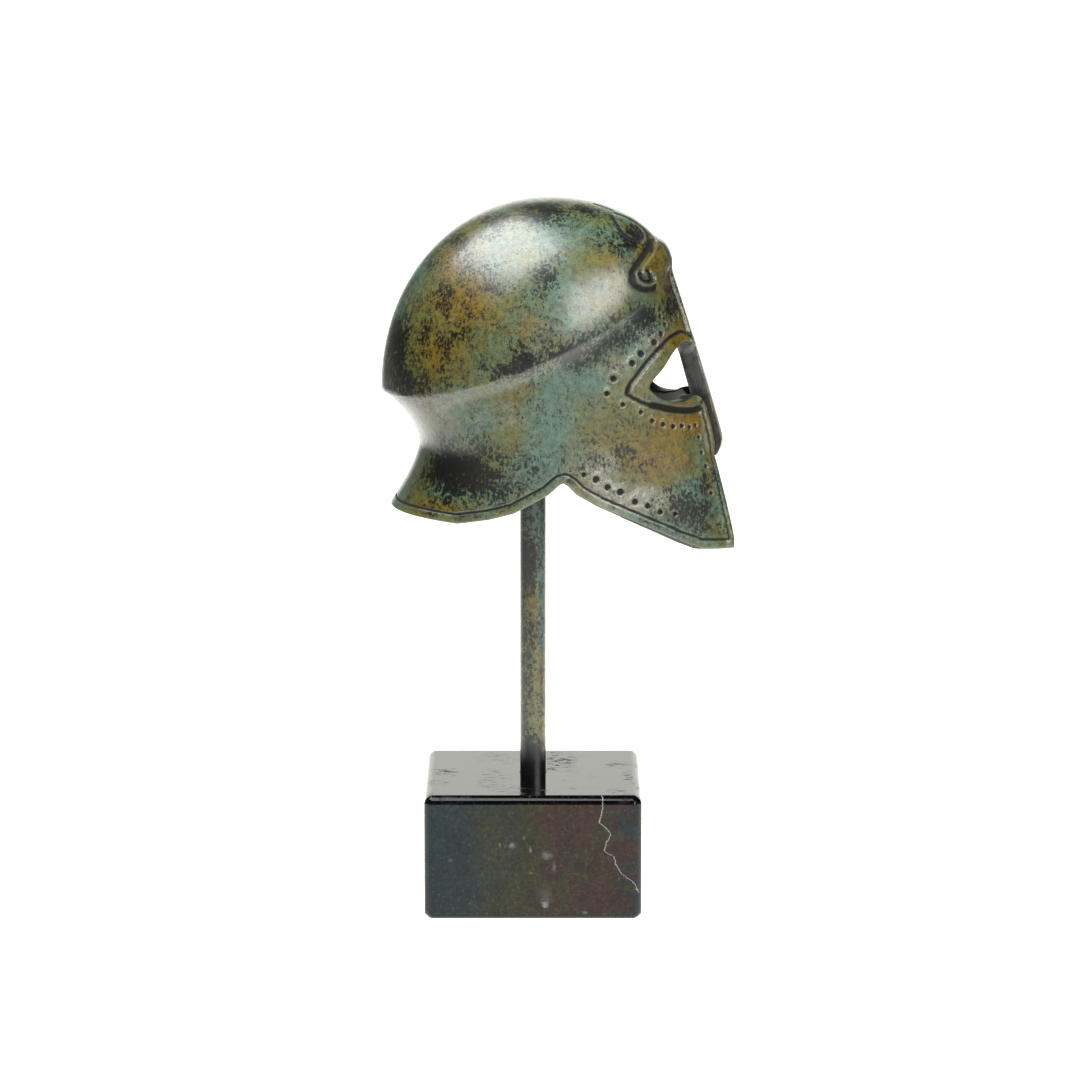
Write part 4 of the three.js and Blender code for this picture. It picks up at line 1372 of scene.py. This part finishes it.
class Colours(bpy.types.PropertyGroup):
    """Colours of the patina and the stone."""

    teal: colour("Teal", "Green-blue patina", (0.145, 0.275, 0.195))
    olive: colour("Olive", "Ground of the patina", (0.215, 0.21, 0.045))
    ochre: colour("Ochre", "Rusty yellow stains", (0.3, 0.19, 0.012))
    # Black is also the colour of the painted shade in grooves, pits and steps, on the rod's left side and
    # under the helmet.
    black: colour("Black", "Dark stains and painted shade in hollows", (0.006, 0.007, 0.006))
    # Pale is partly chalky patina and partly painted sheen and painted reflection.
    pale: colour("Pale", "Chalky stains and painted sheen", (0.5, 0.49, 0.38))
    # Worn is rubbed wear, and on the dot rims also a painted highlight.
    worn: colour("Worn", "Rubbed ridges, and painted highlights on the dot rims", (0.34, 0.34, 0.2))
    cut: colour("Cut", "Edges of the metal", (0.075, 0.075, 0.064))
    inside: colour("Inside", "Inner face of the shell", (0.035, 0.028, 0.02))
    marble_blue: colour("Stone Blue", "Cold part of the stone", (0.009, 0.028, 0.037))
    marble_olive: colour("Stone Olive", "Middle part of the stone", (0.042, 0.042, 0.012))
    marble_maroon: colour("Stone Maroon", "Warm part of the stone", (0.052, 0.018, 0.012))
    marble_vein: colour("Stone Vein", "Veins and flecks", (0.45, 0.5, 0.5))


class StageSettings(bpy.types.PropertyGroup):
    """Lights, floor and camera."""

    overhead: amount("Overhead", "Power of the overhead light in watts", 13.0)
    right: amount("Right", "Power of the right light in watts", 5.5)
    fill: amount("Fill", "Power of the fill light in watts", 7.6)
    surroundings: amount("Surroundings", "Brightness all around", 0.02)
    floor_glow: amount("Floor Glow", "Brightness that the floor has of its own", 1.5)
    distance: length("Distance", "From the camera to the middle of the view", 1.25)
    pitch: bpy.props.FloatProperty(
        name="Pitch", description="How steeply the camera looks down",
        default=0.185, subtype="ANGLE")


# ---------------------------------------------------------------- operators


class HELMET_OT_shell(bpy.types.Operator):
    """Build the helmet's shell with its relief and patina"""

    bl_idname = "helmet.build_shell"
    bl_label = "Build Helmet"

    def execute(self, context):
        build_shell(context.scene.helmet_shape, context.scene.helmet_colours)
        return {"FINISHED"}


class HELMET_OT_rod(bpy.types.Operator):
    """Build the upright rod"""

    bl_idname = "helmet.build_rod"
    bl_label = "Build Rod"

    def execute(self, context):
        build_rod(context.scene.helmet_stand, context.scene.helmet_colours)
        return {"FINISHED"}


class HELMET_OT_block(bpy.types.Operator):
    """Build the marble block"""

    bl_idname = "helmet.build_block"
    bl_label = "Build Block"

    def execute(self, context):
        build_block(context.scene.helmet_stand, context.scene.helmet_colours)
        return {"FINISHED"}


class HELMET_OT_stage(bpy.types.Operator):
    """Set out the floor, the lights and the camera"""

    bl_idname = "helmet.build_stage"
    bl_label = "Build Stage"

    def execute(self, context):
        build_stage(context.scene.helmet_stage)
        return {"FINISHED"}


class HELMET_PT_panel(bpy.types.Panel):
    """The pieces and their settings in the sidebar"""

    bl_label = "Corinthian Helmet"
    bl_idname = "HELMET_PT_panel"
    bl_space_type = "VIEW_3D"
    bl_region_type = "UI"
    bl_category = "Helmet"

    def draw(self, context):
        for operator in OPERATORS:
            self.layout.operator(operator.bl_idname)
        for name, settings in SETTINGS.items():
            group = getattr(context.scene, name)
            box = self.layout.box()
            box.label(text=settings.__doc__)
            for key in settings.__annotations__:
                box.prop(group, key)


OPERATORS = (HELMET_OT_shell, HELMET_OT_rod, HELMET_OT_block, HELMET_OT_stage)
SETTINGS = {
    "helmet_shape": HelmetShape,
    "helmet_stand": StandShape,
    "helmet_colours": Colours,
    "helmet_stage": StageSettings,
}


def register():
    for part in (*SETTINGS.values(), *OPERATORS, HELMET_PT_panel):
        bpy.utils.register_class(part)
    for name, settings in SETTINGS.items():
        setattr(bpy.types.Scene, name, bpy.props.PointerProperty(type=settings))


def unregister():
    for name in SETTINGS:
        delattr(bpy.types.Scene, name)
    for part in (HELMET_PT_panel, *reversed(OPERATORS), *reversed(SETTINGS.values())):
        bpy.utils.unregister_class(part)


def main():
    """Builds everything in order."""
    register()
    bpy.ops.helmet.build_shell()
    bpy.ops.helmet.build_rod()
    bpy.ops.helmet.build_block()
    bpy.ops.helmet.build_stage()


if __name__ == "__main__":
    main()
